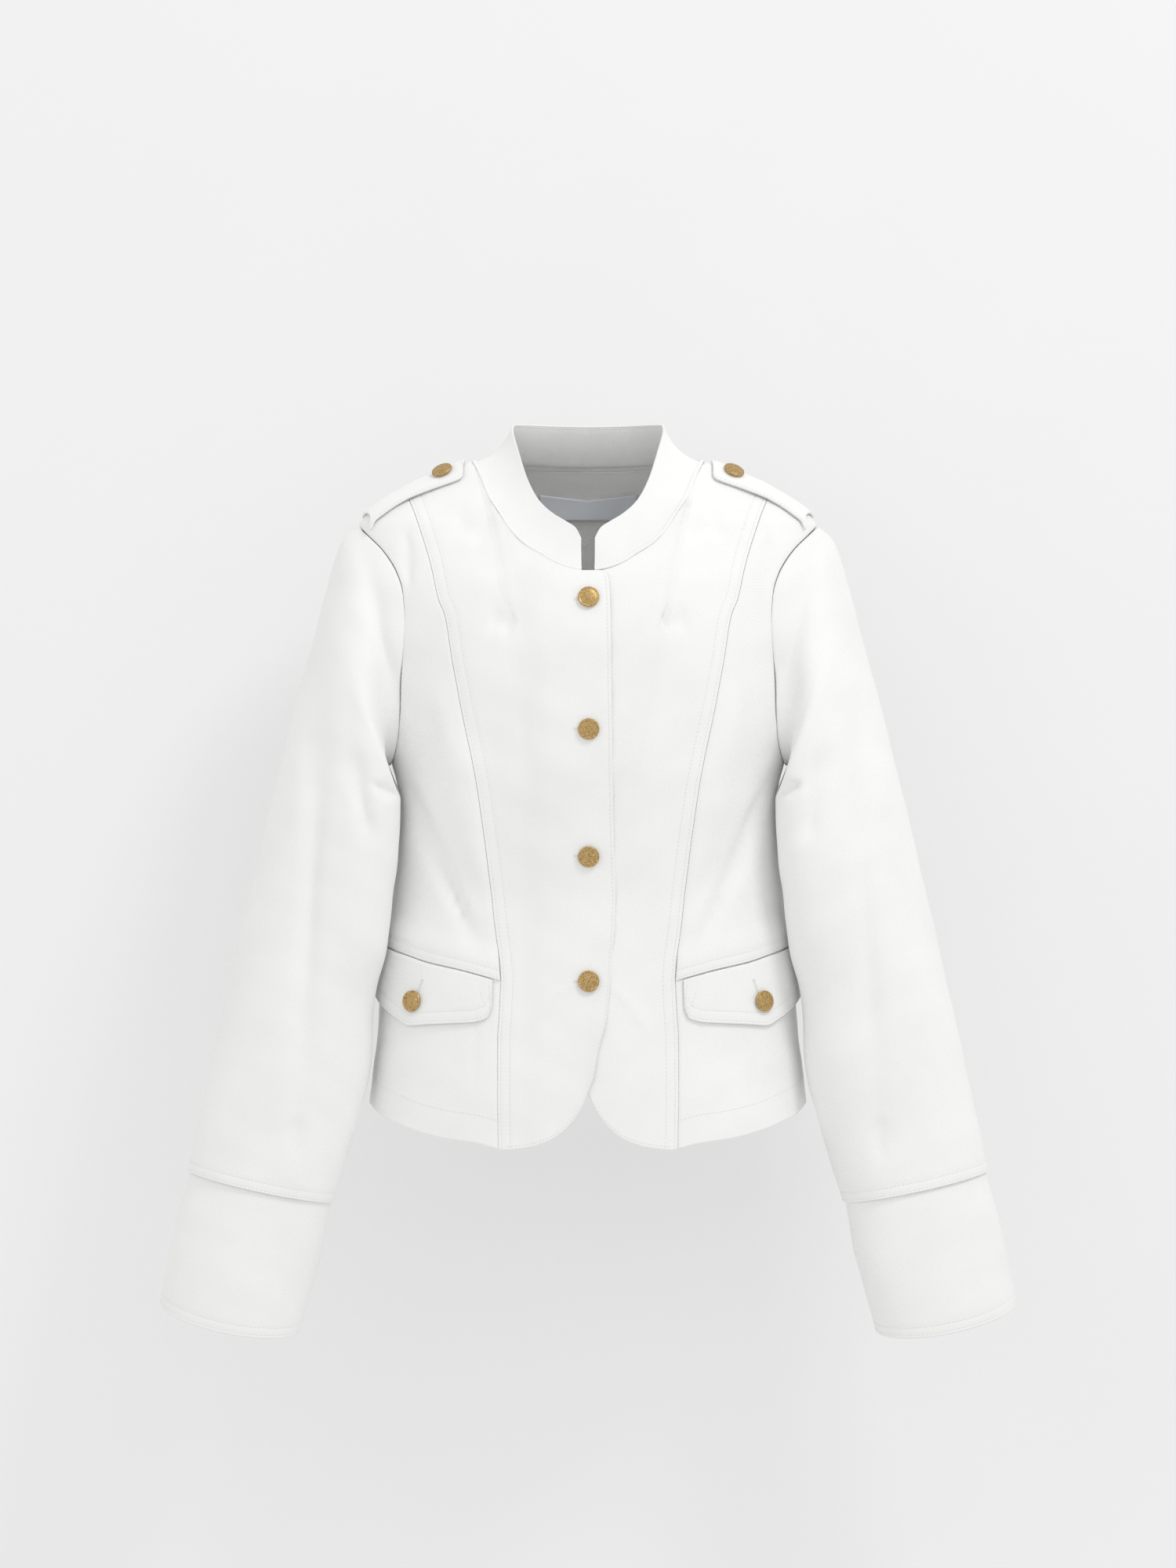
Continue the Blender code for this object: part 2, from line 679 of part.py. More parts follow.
def make_label(materials):
    """A bare woven label, sewn inside the back neck."""
    columns, rows = 8, 2
    grid = []
    for j in range(rows + 1):
        line = []
        for i in range(columns + 1):
            share = 2 * i / columns - 1
            dip = LABEL_DIP * (1 - abs(share)) * (j / rows)
            height = LABEL_TOP - LABEL_HEIGHT * (1 - j / rows) - dip
            place = (around_at(max(0.01, abs(share)) * LABEL_HALF_WIDTH, height, True), height)
            around = place[0] if share >= 0 else 4 - place[0]
            line.append((around, height))
        grid.append(list(reversed(line)))
    inside = -(LABEL_WALL + LABEL_STAND_OFF)
    points, normals = on_form(grid, lambda around, height: inside)
    if (points[0][1] - points[0][0]).x > 0:
        points = [list(reversed(line)) for line in points]
        normals = [list(reversed(line)) for line in normals]
    cloth("neck_label", points, normals, materials["label"], LABEL_WALL)


def button(name, seat, outward, material):
    """A domed button turned about its axis, standing on a seat."""
    segments = 16
    mesh = bpy.data.meshes.new(name)
    frame = outward.to_track_quat("Z", "Y")
    points = [seat + frame @ Vector((0, 0, BUTTON_HEIGHT * BUTTON_PROFILE[0][1])), seat.copy()]
    for radius, height in BUTTON_PROFILE[1:]:
        for number in range(segments):
            angle = 2 * math.pi * number / segments
            local = Vector((BUTTON_RADIUS * radius * math.cos(angle),
                            BUTTON_RADIUS * radius * math.sin(angle), BUTTON_HEIGHT * height))
            points.append(seat + frame @ local)
    faces = []
    rings = len(BUTTON_PROFILE) - 1
    for number in range(segments):
        after = (number + 1) % segments
        faces.append([0, 2 + number, 2 + after])
        last = 2 + (rings - 1) * segments
        faces.append([1, last + after, last + number])
        for ring in range(rings - 1):
            low, high = 2 + ring * segments, 2 + (ring + 1) * segments
            faces.append([low + number, high + number, high + after, low + after])
    mesh.from_pydata([point * MM for point in points], [], faces)
    mesh.shade_smooth()
    mesh.set_sharp_from_angle(angle=math.radians(50))
    place_piece(name, mesh, material)


def make_buttons(materials):
    """Four front buttons, one on each epaulette and one on each flap."""
    brass = materials["brass"]
    for number, height in enumerate(FRONT_BUTTON_HEIGHTS, start=1):
        around = around_at(FRONT_BUTTON_ACROSS, height)
        outward = form_normal(around, height)
        seat = form_point(around, height) + outward * (OVERLAP_LIFT + WALL + BUTTON_CLEAR)
        button(f"button_front_{number}", seat, outward, brass)
    for side, sign in (("left", 1), ("right", -1)):
        across, height = FLAP_BUTTON
        around = around_at(sign * across, height)
        outward = form_normal(around, height)
        stand_off = flap_lift(around, height) + FLAP_WALL + FLAP_BUTTON_CLEAR
        seat = form_point(around, height) + outward * stand_off
        button(f"button_flap_{side}", seat, outward, brass)
        x, y = EPAULETTE_BUTTON
        height = height_at(x, y)
        around = sign * abs(around_at(x, height))
        outward = form_normal(around, height)
        seat = form_point(around, height) + outward * (EPAULETTE_LIFT + EPAULETTE_WALL + BUTTON_CLEAR)
        button(f"button_epaulette_{side}", seat, outward, brass)


for old in list(bpy.data.objects):
    bpy.data.objects.remove(old)
JACKET = bpy.data.collections.new("military_jacket")
bpy.context.scene.collection.children.link(JACKET)
MATERIALS = {
    "cloth": finish("cloth", CLOTH_COLOR, 0.9, 0.0),
    "label": finish("label", LABEL_COLOR, 0.6, 0.0),
    "brass": finish("brass", BRASS_COLOR, 0.35, 1.0),
}
SEAMS = make_panels(MATERIALS)
make_sleeves(SEAMS, MATERIALS)
make_collar(SEAMS, MATERIALS)
make_epaulettes(MATERIALS)
make_label(MATERIALS)
make_buttons(MATERIALS)
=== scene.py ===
"""Military jacket in white twill: its visible cloth, sewing, buttons and picture.

Sizes are in millimetres and turned into metres when a mesh is made. A place on the body form
is how far round it lies (0 at the centre front, 1 at the wearer's left side, 2 at the centre
back) and its height. The form, seams and sections are the same as those of the CAD solids.
Pieces are made for the wearer's left, at +X, and mirrored for the right.
"""

import math

import bpy
import numpy as np
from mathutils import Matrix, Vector


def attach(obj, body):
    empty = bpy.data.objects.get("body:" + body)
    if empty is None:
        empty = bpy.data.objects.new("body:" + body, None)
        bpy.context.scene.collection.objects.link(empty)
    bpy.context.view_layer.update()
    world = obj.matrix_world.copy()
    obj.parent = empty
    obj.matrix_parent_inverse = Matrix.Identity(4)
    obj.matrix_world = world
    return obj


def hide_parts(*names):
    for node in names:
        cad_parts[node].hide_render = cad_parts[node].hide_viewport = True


MM = 0.001
WALL = 1.5
SEAM_GAP = 0.3
LIFT = 1.8
LAP_DEPTH = 9.0
LAP_LIFT = 2.0
OVERLAP_LIFT = 2.3
FLAP_WALL = 2.0
COLLAR_WALL = 2.0
EPAULETTE_WALL = 2.0
EPAULETTE_LIFT = 3.2
CELL = 3.0
EDGE_ROUNDING = 0.55
SEWN_DEPTH = 0.3
SEWN_WIDTH = 0.9

# Body form, a row for each level: height, half width, depth in front and behind, squareness
FORM = [
    (-570, 179, 96, 94, 2.30), (-514, 174, 94, 92, 2.30), (-460, 168, 88, 88, 2.35),
    (-400, 163, 83, 81, 2.35), (-350, 157, 82, 76, 2.30), (-300, 152.5, 89, 79, 2.25),
    (-262, 151.5, 95, 85, 2.25), (-240, 156, 98, 89, 2.20), (-200, 165, 100, 95, 2.15),
    (-150, 173, 98, 98, 2.10), (-100, 180, 87, 97, 2.05), (-70, 183.5, 71, 90, 2.00),
    (-50, 183, 58, 82, 2.00), (-42, 176, 52, 79, 2.00), (-33, 164, 46, 76, 2.00),
    (-25.5, 151.5, 39, 73, 2.00), (-18.5, 139, 33, 69, 2.00), (-13, 126, 29, 65, 2.00),
    (-7, 113, 24, 61, 2.00), (-2, 101, 20, 57, 2.00), (2, 90, 17, 53, 2.00), (12, 60, 12, 44, 2.00),
]
SHOULDER_TIP = (183.0, -50.0)
NECK_POINT_HEIGHT = 1.0
UNDERARM_HEIGHT = -240.0

# Seams and edges on the wearer's left, each row a place: across, height
PRINCESS_LOW = [(71.4, -548), (72.0, -505), (72.0, -461), (70.7, -441), (69.4, -414)]
PRINCESS_HIGH = [
    (69.4, -414), (71, -394), (73.4, -377), (77, -341), (82, -297), (88, -254), (99, -204),
    (108.5, -155), (114, -122), (119, -110), (126, -80), (133, -57), (139, -40), (146, -22.5),
]
ARMHOLE_FRONT = [
    (183, -50), (173, -60), (165, -68), (157.5, -78), (151, -90), (146.5, -105), (145, -125),
    (146, -147), (147.5, -170), (148.5, -195), (150, -217), (153, -232),
]
ARMHOLE_BACK = [
    (183, -50), (177, -62), (171, -77), (167, -97), (164, -122), (162, -150), (161, -180),
    (160, -205), (158, -225), (157, -236),
]
LAP_EDGE = [(69.4, -414), (80, -411), (100, -405.5), (127.6, -399), (145, -393), (163, -386)]
HEM_SIDE = [(71.4, -548), (87, -544), (114, -540), (134.5, -535), (155, -527), (167, -521)]
HEM_AT_SIDE = -513.0
HEM_AT_BACK = -499.0
FRONT_HEM = [(71.4, -548), (66, -549), (60, -548.5), (46, -546.5), (32, -542), (21, -535),
             (11.7, -525.5), (4.7, -514.5), (0, -503), (-4.7, -492)]
FRONT_EDGE = [
    (-4.7, -492), (-9, -468), (-14.2, -448), (-16.7, -427), (-18.6, -400), (-21, -372),
    (-22, -345), (-20.5, -300), (-19, -200), (-18, -130), (-17, -98), (-15.5, -92), (-12, -88),
]
NECKLINE = [
    (5, -87.8), (14, -86), (27, -81.5), (39, -74), (52, -65.5), (63, -54), (73, -39),
    (80, -28), (87, -11),
]
BACK_NECK = [(75, -1), (55, -3), (30, -4.5)]
BACK_NECK_HEIGHT = -5.0

# Pocket flap: place round the form, bottom edge, how far it stands off
FLAP = [
    (0.262, -436, 0.0), (0.275, -444, 0.0), (0.33, -447.5, 0.2), (0.42, -448.5, 0.4),
    (0.52, -449.5, 0.5), (0.60, -450.5, 0.6), (0.69, -445, 0.8), (0.78, -438.5, 1.2),
    (0.88, -431.5, 2.0), (0.955, -425, 2.8), (0.985, -417, 3.2),
]

# Collar from the centre back to the front end: share of the seam, top x, y, z, hollow
COLLAR = [
    (0.000, 0.0, 40.0, 32.0, 1.5), (0.130, 28.0, 37.0, 32.5, 2.0), (0.260, 50.0, 25.0, 33.0, 3.5),
    (0.350, 60.0, 8.0, 32.5, 5.0), (0.420, 61.5, -7.0, 28.5, 5.5), (0.510, 56.0, -25.0, 9.0, 4.0),
    (0.600, 49.0, -38.0, -12.0, 3.0), (0.700, 39.5, -50.0, -29.5, 2.0),
    (0.800, 28.5, -58.5, -40.0, 1.5), (0.900, 16.5, -65.0, -47.5, 1.0),
    (0.955, 10.0, -68.5, -52.0, 1.0), (1.000, 5.6, -72.0, -60.5, 0.8),
]

# Sleeve sections: outer and inner point x, y, z, half depth, dip, share of the armhole's shape
SLEEVE = [
    (197, 2, -63, 165, -5, -243, 55, 0, 0.55), (208, 2, -98, 160, -26, -256, 55, 0, 0.25),
    (217, 1, -133, 151, -46, -270, 53, 0, 0.08), (229, -2, -178, 152, -50, -292, 51, 0, 0),
    (241, -6, -224, 153.5, -50, -318, 49, 0, 0), (253, -10, -272, 157, -48, -346, 48, 1, 0),
    (267, -14, -333, 162, -44, -386, 47, 1, 0), (281, -18, -394, 172.5, -36, -431, 46, 2, 0),
    (295, -22, -455, 175.5, -34, -480, 44, 2, 0), (308, -25, -514, 188, -33, -533, 41, 3, 0),
    (319, -27, -567, 205.5, -33, -591, 39, 4, 0),
]
CUFF = [
    (315.0, -27, -559.2, 205.3, -33, -583.2, 36.4, 4, 0),
    (316.8, -27, -567.5, 207.7, -33, -591.3, 36.4, 4, 0),
    (327, -28, -603, 213, -33, -626, 37.5, 7, 0), (335, -29, -640, 223, -33, -661, 37.5, 10, 0),
    (342, -30, -673, 232, -33, -694, 37.5, 13, 0),
]
ARMHOLE_DEPTH = 55.0

# Epaulette stations from the neck end: across, further out at the front edge, edges in y
EPAULETTE = [
    (97.5, 2.0, -13.0, 6.0), (99.5, 0.5, -17.5, 9.5), (104, 0.0, -19.5, 11.0),
    (113, 0.0, -20.0, 11.5), (124, 0.0, -20.0, 11.5), (136, 0.0, -20.0, 11.5),
    (148, 0.0, -20.5, 11.5), (159, 0.0, -21.0, 11.5), (168, -1.5, -21.5, 11.5),
    (174, -4.0, -21.5, 11.0), (179, -7.0, -21.0, 10.5),
]

LABEL_HALF_WIDTH = 40.0
LABEL_TOP = -22.0
LABEL_HEIGHT = 21.0
LABEL_DIP = 5.0
LABEL_WALL = 1.0
LABEL_STAND_OFF = 1.6

BUTTON_RADIUS = 8.5
BUTTON_HEIGHT = 3.6
FRONT_BUTTON_HEIGHTS = (-109.5, -213.0, -314.0, -414.5)
FRONT_BUTTON_ACROSS = 0.5
FLAP_BUTTON = (137.2, -431.0)
EPAULETTE_BUTTON = (115.0, -8.0)

# Creases seen from the front, on the wearer's left: width, depth (minus is a ridge), places
FRONT_CREASES = [
    (6.0, 5.5, [(145, -247), (127, -298), (106.8, -344), (88.5, -390)]),
    (14.0, -5.0, [(122, -170), (98, -262), (78.4, -359)]),
    (5.0, 2.5, [(145, -52), (142.7, -103)]),
    (10.0, 2.6, [(112, -48), (74, -60)]),
    (9.0, 2.2, [(81.6, -125), (56, -131)]),
    (4.0, -0.8, [(9, -418), (25, -423), (40, -442), (50, -459)]),
    (3.0, 0.8, [(88.5, -436.6), (91, -497.7)]),
]
BACK_CREASES = [
    (7.0, 4.5, [(146, -250), (124, -300), (100, -345), (84, -385)]),
    (13.0, 4.0, [(60, -250), (66, -330), (62, -420)]),
    (13.0, -4.0, [(112, -180), (92, -270), (80, -350)]),
    (9.0, 3.0, [(140, -90), (104, -120), (64, -128)]),
    (9.0, 2.2, [(20, -345), (58, -356), (104, -348)]),
    (7.0, 1.2, [(108, -425), (84, -470)]),
]
SLEEVE_CREASES = [
    (8.0, 5.0, [(178.6, -72), (166, -136), (150, -200)]),
    (9.0, 4.2, [(214.5, -144), (218, -282), (224.6, -416), (232, -544)]),
    (8.0, 4.5, [(188.7, -221), (173, -313)]),
    (5.0, 4.0, [(150, -267), (173, -257)]),
    (6.0, 2.6, [(232, -518.5), (233.4, -559)]),
]
SLEEVE_BACK_CREASES = [
    (8.0, 4.5, [(190, -90), (196, -170), (206, -250)]),
    (9.0, 4.5, [(176, -330), (204, -372), (238, -392)]),
    (8.0, 4.0, [(186, -408), (214, -436), (252, -444)]),
    (7.0, 3.5, [(172, -292), (196, -318), (222, -322)]),
    (7.0, 3.0, [(250, -470), (258, -545)]),
]

# Rows of stitches on each piece: side, distance from it, and how far the row stops from the ends
SEWING = {
    "front": [("left", 2.6, 4), ("bottom", 3.0, 4), ("right", 2.8, 2), ("right", 10.0, 2)],
    "side_front": [("bottom", 2.2, 1), ("bottom", 8.2, 1)],
    "skirt": [("bottom", 23.0, 1)],
    "flap": [("left", 2.5, 2.5), ("bottom", 2.5, 2.5), ("right", 2.5, 2.5),
             ("left", 10.0, 10), ("bottom", 10.0, 10), ("right", 10.0, 10)],
    "back": [("bottom", 23.0, 1)],
    "collar": [("top", 2.2, 3), ("left", 2.2, 3), ("right", 2.2, 3), ("bottom", 3.0, 3)],
    "epaulette": [("left", 2.2, 3), ("right", 2.2, 3), ("bottom", 2.2, 3)],
    "sleeve": [("bottom", 2.2, 0), ("bottom", 8.2, 0)],
    "cuff": [("bottom", 3.0, 0), ("bottom", 9.0, 0)],
    "neck_label": [],
}

STITCH_LENGTH = 2.7
STITCH_PITCH = 3.3
STITCH_RADIUS = 0.26
BAR_PITCH = 0.55
BAR_LENGTH = 1.1
BAR_RADIUS = 0.24
BAR_REACH = (0.15, 1.3)
FRONT_BAR = (-4.0, 11.4)
FLAP_BAR = ((132.0, -412.7), (135.8, -424.0))


def read(rows, place, flat_ends=True):
    """Reads a table at places in its first column, on smooth curves that don't overshoot."""
    rows = np.asarray(rows, float)
    keys, values = rows[:, 0], rows[:, 1:]
    steps = np.diff(keys)
    rise = np.diff(values, axis=0) / steps[:, None]
    slopes = np.zeros_like(values)
    same = rise[:-1] * rise[1:] > 0
    total = np.where(same, rise[:-1] + rise[1:], 1.0)
    slopes[1:-1] = np.where(same, 2 * rise[:-1] * rise[1:] / total, 0.0)
    if not flat_ends:
        slopes[0], slopes[-1] = rise[0], rise[-1]
    place = np.clip(np.asarray(place, float), keys[0], keys[-1])
    index = np.clip(np.searchsorted(keys, place, side="right") - 1, 0, len(keys) - 2)
    step = steps[index][..., None]
    share = (place - keys[index])[..., None] / step
    square, cube = share ** 2, share ** 3
    return ((2 * cube - 3 * square + 1) * values[index] + (3 * square - 2 * cube) * values[index + 1]
            + (cube - 2 * square + share) * step * slopes[index]
            + (cube - square) * step * slopes[index + 1])


def eased(share):
    """Eases from 0 to 1."""
    share = np.clip(share, 0.0, 1.0)
    return share * share * (3 - 2 * share)


def unit(vectors):
    """The same directions with length 1."""
    return vectors / np.maximum(np.linalg.norm(vectors, axis=-1, keepdims=True), 1e-9)


def form_points(places):
    """The body form's surface at places on it."""
    places = np.asarray(places, float)
    half_width, front, back, squareness = np.moveaxis(read(FORM, places[..., 1]), -1, 0)
    angle = places[..., 0] * math.pi / 2
    power = 2 / squareness
    across, along = np.sin(angle), np.cos(angle)
    depth = np.where(along > 0, front, back)
    x = half_width * np.sign(across) * np.abs(across) ** power
    y = -depth * np.sign(along) * np.abs(along) ** power
    return np.stack([x, y, places[..., 1]], axis=-1)


def form_normals(places):
    """The outward directions of the body form there."""
    places = np.asarray(places, float)
    side, rise = np.array([0.004, 0]), np.array([0, 0.6])
    level = form_points(places + side) - form_points(places - side)
    upward = form_points(places + rise) - form_points(places - rise)
    return unit(np.cross(level, upward))


def around_at(across, height, behind=False):
    """How far round the form distances across lie, on its front or its back."""
    across = np.asarray(across, float)
    found = read(FORM, height)
    share = np.minimum(1.0, np.abs(across) / found[..., 0]) ** (found[..., 3] / 2)
    turn = np.arcsin(share) / (math.pi / 2)
    if behind:
        turn = 2 - turn
    return np.where(across < 0, -turn, turn)


def height_at(x, y):
    """The height of the form's upper surface above points, found by halving."""
    low, high = np.full(np.shape(x), -200.0), np.full(np.shape(x), 12.0)
    for _ in range(40):
        middle = (low + high) / 2
        half_width, front, back, squareness = np.moveaxis(read(FORM, middle), -1, 0)
        depth = np.where(y < 0, front, back)
        inside = (np.abs(x) / half_width) ** squareness + (np.abs(y) / depth) ** squareness < 1
        low, high = np.where(inside, middle, low), np.where(inside, high, middle)
    return low


def on_side(rows, behind=False):
    """Turns a table of across and height into places on the form."""
    rows = np.asarray(rows, float)
    return np.stack([around_at(rows[:, 0], rows[:, 1], behind), rows[:, 1]], axis=-1)


def running(points, axis=0):
    """The length along lines of points, from 0 at their start."""
    points = np.moveaxis(points, axis, 0)
    steps = np.linalg.norm(np.diff(points, axis=0), axis=-1)
    lengths = np.concatenate([np.zeros((1,) + steps.shape[1:]), np.cumsum(steps, axis=0)])
    return np.moveaxis(lengths, 0, axis)


def curve(places, count, behind=False):
    """Spreads count + 1 places evenly along a smooth line through places."""
    places = np.asarray(places, float)
    points = form_points(places)
    lengths = running(points)
    upright = np.ptp(places[:, 0]) == 0
    rows = np.column_stack([lengths, places[:, 0] if upright else points[:, 0], places[:, 1]])
    fine = read(rows, np.linspace(0, lengths[-1], 400), flat_ends=False)
    if not upright:
        fine[:, 0] = around_at(fine[:, 0], fine[:, 1], behind)
    fine[0], fine[-1] = places[0], places[-1]
    lengths = running(form_points(fine))
    target = np.linspace(0, lengths[-1], count + 1)
    return np.column_stack([np.interp(target, lengths, fine[:, k]) for k in (0, 1)])


def patch(bottom, top, left, right, behind=False):
    """Fills four sides of places with a grid that is even as seen from the front."""
    sides = []
    for line in (bottom, top, left, right):
        sides.append(np.column_stack([form_points(line)[:, 0], np.asarray(line)[:, 1]]))
    low, high, near, far = sides
    up = np.linspace(0, 1, len(near))[:, None, None]
    over = np.linspace(0, 1, len(low))[None, :, None]
    seen = ((1 - up) * low[None] + up * high[None] + (1 - over) * near[:, None] + over * far[:, None]
            - (1 - up) * (1 - over) * low[0] - (1 - up) * over * low[-1]
            - up * (1 - over) * high[0] - up * over * high[-1])
    grid = np.stack([around_at(seen[..., 0], seen[..., 1], behind), seen[..., 1]], axis=-1)
    grid[:, 0], grid[:, -1] = left, right
    grid[0], grid[-1] = bottom, top
    return grid


def graded(values, points, axis, near, far, corners=()):
    """Spreads a grid's lines anew: at set distances from its edges, evenly between its corners."""
    values, points = np.moveaxis(values, axis, 1), np.moveaxis(points, axis, 1)
    lengths = running(points, axis=1)
    near, far = (np.array([np.broadcast_to(offset, len(values)) for offset in side]).T
                 for side in (near, far))
    numbers = np.arange(values.shape[1])
    typical = np.median(lengths, axis=0)
    spans = [0] + list(corners) + [values.shape[1] - 1]
    counts = [max(2, int(round((typical[last] - typical[first]) / CELL)))
              for first, last in zip(spans, spans[1:])]
    found = []
    for row, (line, along) in enumerate(zip(values, lengths)):
        first = np.interp(near[row], along, numbers)
        last = np.interp(along[-1] - far[row][::-1], along, numbers)
        stops = [first[-1]] + list(corners) + [last[0]]
        middle = [np.linspace(start, end, count, endpoint=False)
                  for start, end, count in zip(stops, stops[1:], counts)]
        target = np.concatenate([first[:-1]] + middle + [last])
        found.append(np.stack([np.interp(target, numbers, line[:, k])
                               for k in range(values.shape[-1])], axis=-1))
    return np.moveaxis(np.array(found), 1, axis)


def edge_steps(*rows):
    """Distances of grid lines near an edge, closer together where a row of stitches runs."""
    found = [SEAM_GAP / 2, 0.8]
    for row in rows:
        found += [row - 1.3, row, row + 1.3]
    return [distance for number, distance in enumerate(found) if number < 1 or distance > 0.7]


class Shell:
    """A wall of cloth from a grid whose rows go up and whose columns go to the viewer's right."""

    def __init__(self, points, normals, wall=WALL, closed=False, sewn=None, grain=1):
        self.points, self.normals = points, normals
        self.wall, self.closed, self.grain = wall, closed, grain
        across, along = running(points, 1), running(points, 0)
        self.far = {"left": across, "right": across[:, -1:] - across,
                    "bottom": along, "top": along[-1:] - along}
        depth = np.full(points.shape[:2], float(wall))
        for side, distance in self.far.items():
            if closed and side in ("left", "right"):
                continue
            depth -= EDGE_ROUNDING * (distance < SEAM_GAP / 6)
            for row in (sewn or {}).get(side, ()):
                depth -= SEWN_DEPTH * np.exp(-((distance - row + SEAM_GAP / 2) / SEWN_WIDTH) ** 2)
        self.outer = points + normals * depth[..., None]

    def mirror(self):
        """The same wall on the wearer's right."""
        other = object.__new__(Shell)
        other.wall, other.closed, other.grain = self.wall, self.closed, -self.grain
        flip = np.array([-1.0, 1.0, 1.0])
        for name in ("points", "normals", "outer"):
            setattr(other, name, getattr(self, name)[:, ::-1] * flip)
        other.far = {side: distance[:, ::-1] for side, distance in self.far.items()}
        other.far["left"], other.far["right"] = other.far["right"], other.far["left"]
        return other

    def line(self, side, distance, start=0.0, end=0.0):
        """The points and directions of a line at a distance from a side, on the outer face."""
        reach = self.far[side]
        upright = side in ("left", "right")
        values = np.concatenate([self.outer, self.normals], axis=-1)
        if not upright:
            reach, values = reach.T, np.swapaxes(values, 0, 1)
        found = []
        for row, along in zip(values, reach):
            order = np.argsort(along)
            found.append([np.interp(distance, along[order], row[order, k]) for k in range(6)])
        found = np.array(found)
        if self.closed and not upright:
            found = np.concatenate([found, found[:1]])
        lengths = running(found[:, :3])
        target = np.linspace(start, lengths[-1] - end, max(2, int(lengths[-1])))
        return np.column_stack([np.interp(target, lengths, found[:, k]) for k in range(6)])


def drop_relief(points, tables):
    """How deep the creases of the tables are at points, seen from the front."""
    seen = points[..., [0, 2]]
    depth = np.zeros(points.shape[:-1])
    for width, deep, line in tables:
        line = np.asarray(line, float)
        closest = np.full(depth.shape, 1e9)
        share = np.zeros(depth.shape)
        total = np.linalg.norm(np.diff(line, axis=0), axis=1).sum()
        passed = 0.0
        for first, second in zip(line, line[1:]):
            reach = second - first
            length = np.linalg.norm(reach)
            place = np.clip(((seen - first) @ reach) / length ** 2, 0, 1)
            away = np.linalg.norm(seen - first - place[..., None] * reach, axis=-1)
            nearer = away < closest
            closest = np.where(nearer, away, closest)
            share = np.where(nearer, (passed + place * length) / total, share)
            passed += length
        waver = 1 + 0.25 * np.sin(9 * share + 0.7 * width)
        fade = eased(share / 0.3) * eased((1 - share) / 0.3) * 0.85 + 0.15
        depth += deep * fade * np.exp(-(closest / (width * waver)) ** 2)
    return depth


def unevenness(points):
    """The gentle unevenness of cloth that has been worn, in millimetres."""
    x, y, z = np.moveaxis(points, -1, 0)
    return (0.45 * np.sin(x / 17 + z / 29 + 1.3) * np.sin(z / 23 - x / 41 + y / 30)
            + 0.3 * np.sin(x / 9.5 - z / 13 + 0.4) * np.sin(z / 11 + y / 16 + 2.1))


def creased(points, normals, front, back):
    """Points moved by the creases that their side of the jacket shows."""
    facing = -normals[..., 1]
    mirrored = np.abs(points) * np.array([1, 0, 0]) + points * np.array([0, 1, 1])
    sunk = drop_relief(mirrored, front) * eased(facing / 0.35)
    sunk += drop_relief(mirrored, back) * eased(-facing / 0.35)
    return points - normals * (sunk + unevenness(points))[..., None]


def seam_places():
    """The seams that two pieces share."""
    side = (1.0, HEM_AT_SIDE)
    lap_side = (1.0, LAP_EDGE[-1][1])
    tip, under = (1.0, SHOULDER_TIP[1]), (1.0, UNDERARM_HEIGHT)
    princess_end = (1.0, PRINCESS_HIGH[-1][1])
    neck_point = (1.0, NECK_POINT_HEIGHT)
    return {
        "princess_low": on_side(PRINCESS_LOW),
        "princess_high": np.vstack([on_side(PRINCESS_HIGH[:-1]), princess_end]),
        "arm_front": np.vstack([tip, on_side(ARMHOLE_FRONT[1:]), under]),
        "arm_back": np.vstack([tip, on_side(ARMHOLE_BACK[1:], True), under]),
        "side_low": np.array([side, lap_side]),
        "side_high": np.array([lap_side, under]),
        "lap": np.vstack([on_side(LAP_EDGE[:-1]), lap_side]),
        "neck_front": np.vstack([neck_point, on_side(NECKLINE[::-1])]),
        "neck_back": np.vstack([neck_point, on_side(BACK_NECK, True), (2.0, BACK_NECK_HEIGHT)]),
    }


SEAMS = seam_places()
LAP_ROWS = [(place[0], place[1]) for place in SEAMS["lap"]]


def height_on(rows, across):
    """The height of a line at distances across."""
    return read(rows, across)[..., 0]


def overlap_lift(places, points):
    """How far the upper front stands off where it lies over the other front, before mirroring."""
    return OVERLAP_LIFT * eased((54 - points[..., 0]) / 22)


def lap_lift(places, points):
    """How far the side front stands off where it laps over the skirt."""
    above = points[..., 2] - height_on(LAP_EDGE, np.abs(points[..., 0]))
    return LAP_LIFT * (1 - eased((above - LAP_DEPTH - 2) / 20))


def flap_lift(places, points):
    """How far the flap stands off the skirt, most at its free lower edge by the side seam."""
    stand_off = read([(row[0], row[2]) for row in FLAP], np.abs(places[..., 0]))[..., 0]
    top = height_on(LAP_EDGE, np.abs(points[..., 0]))
    return LIFT + 0.5 + stand_off * eased((top - points[..., 2]) / 40)


def panel(places, steps, lift=None, wall=WALL, sewn=None, corners=((), ())):
    """A wall of cloth on the form from a grid of places, with corners in its rows and columns."""
    for axis, sides in ((1, ("left", "right")), (0, ("bottom", "top"))):
        near, far = (steps.get(side, edge_steps()) for side in sides)
        places = graded(places, form_points(places), axis, near, far, corners[axis])
    points, normals = form_points(places), form_normals(places)
    if lift is not None:
        points = points + normals * lift(places, points)[..., None]
    points = creased(points, normals, FRONT_CREASES, BACK_CREASES)
    return Shell(points, normals, wall, sewn=sewn)


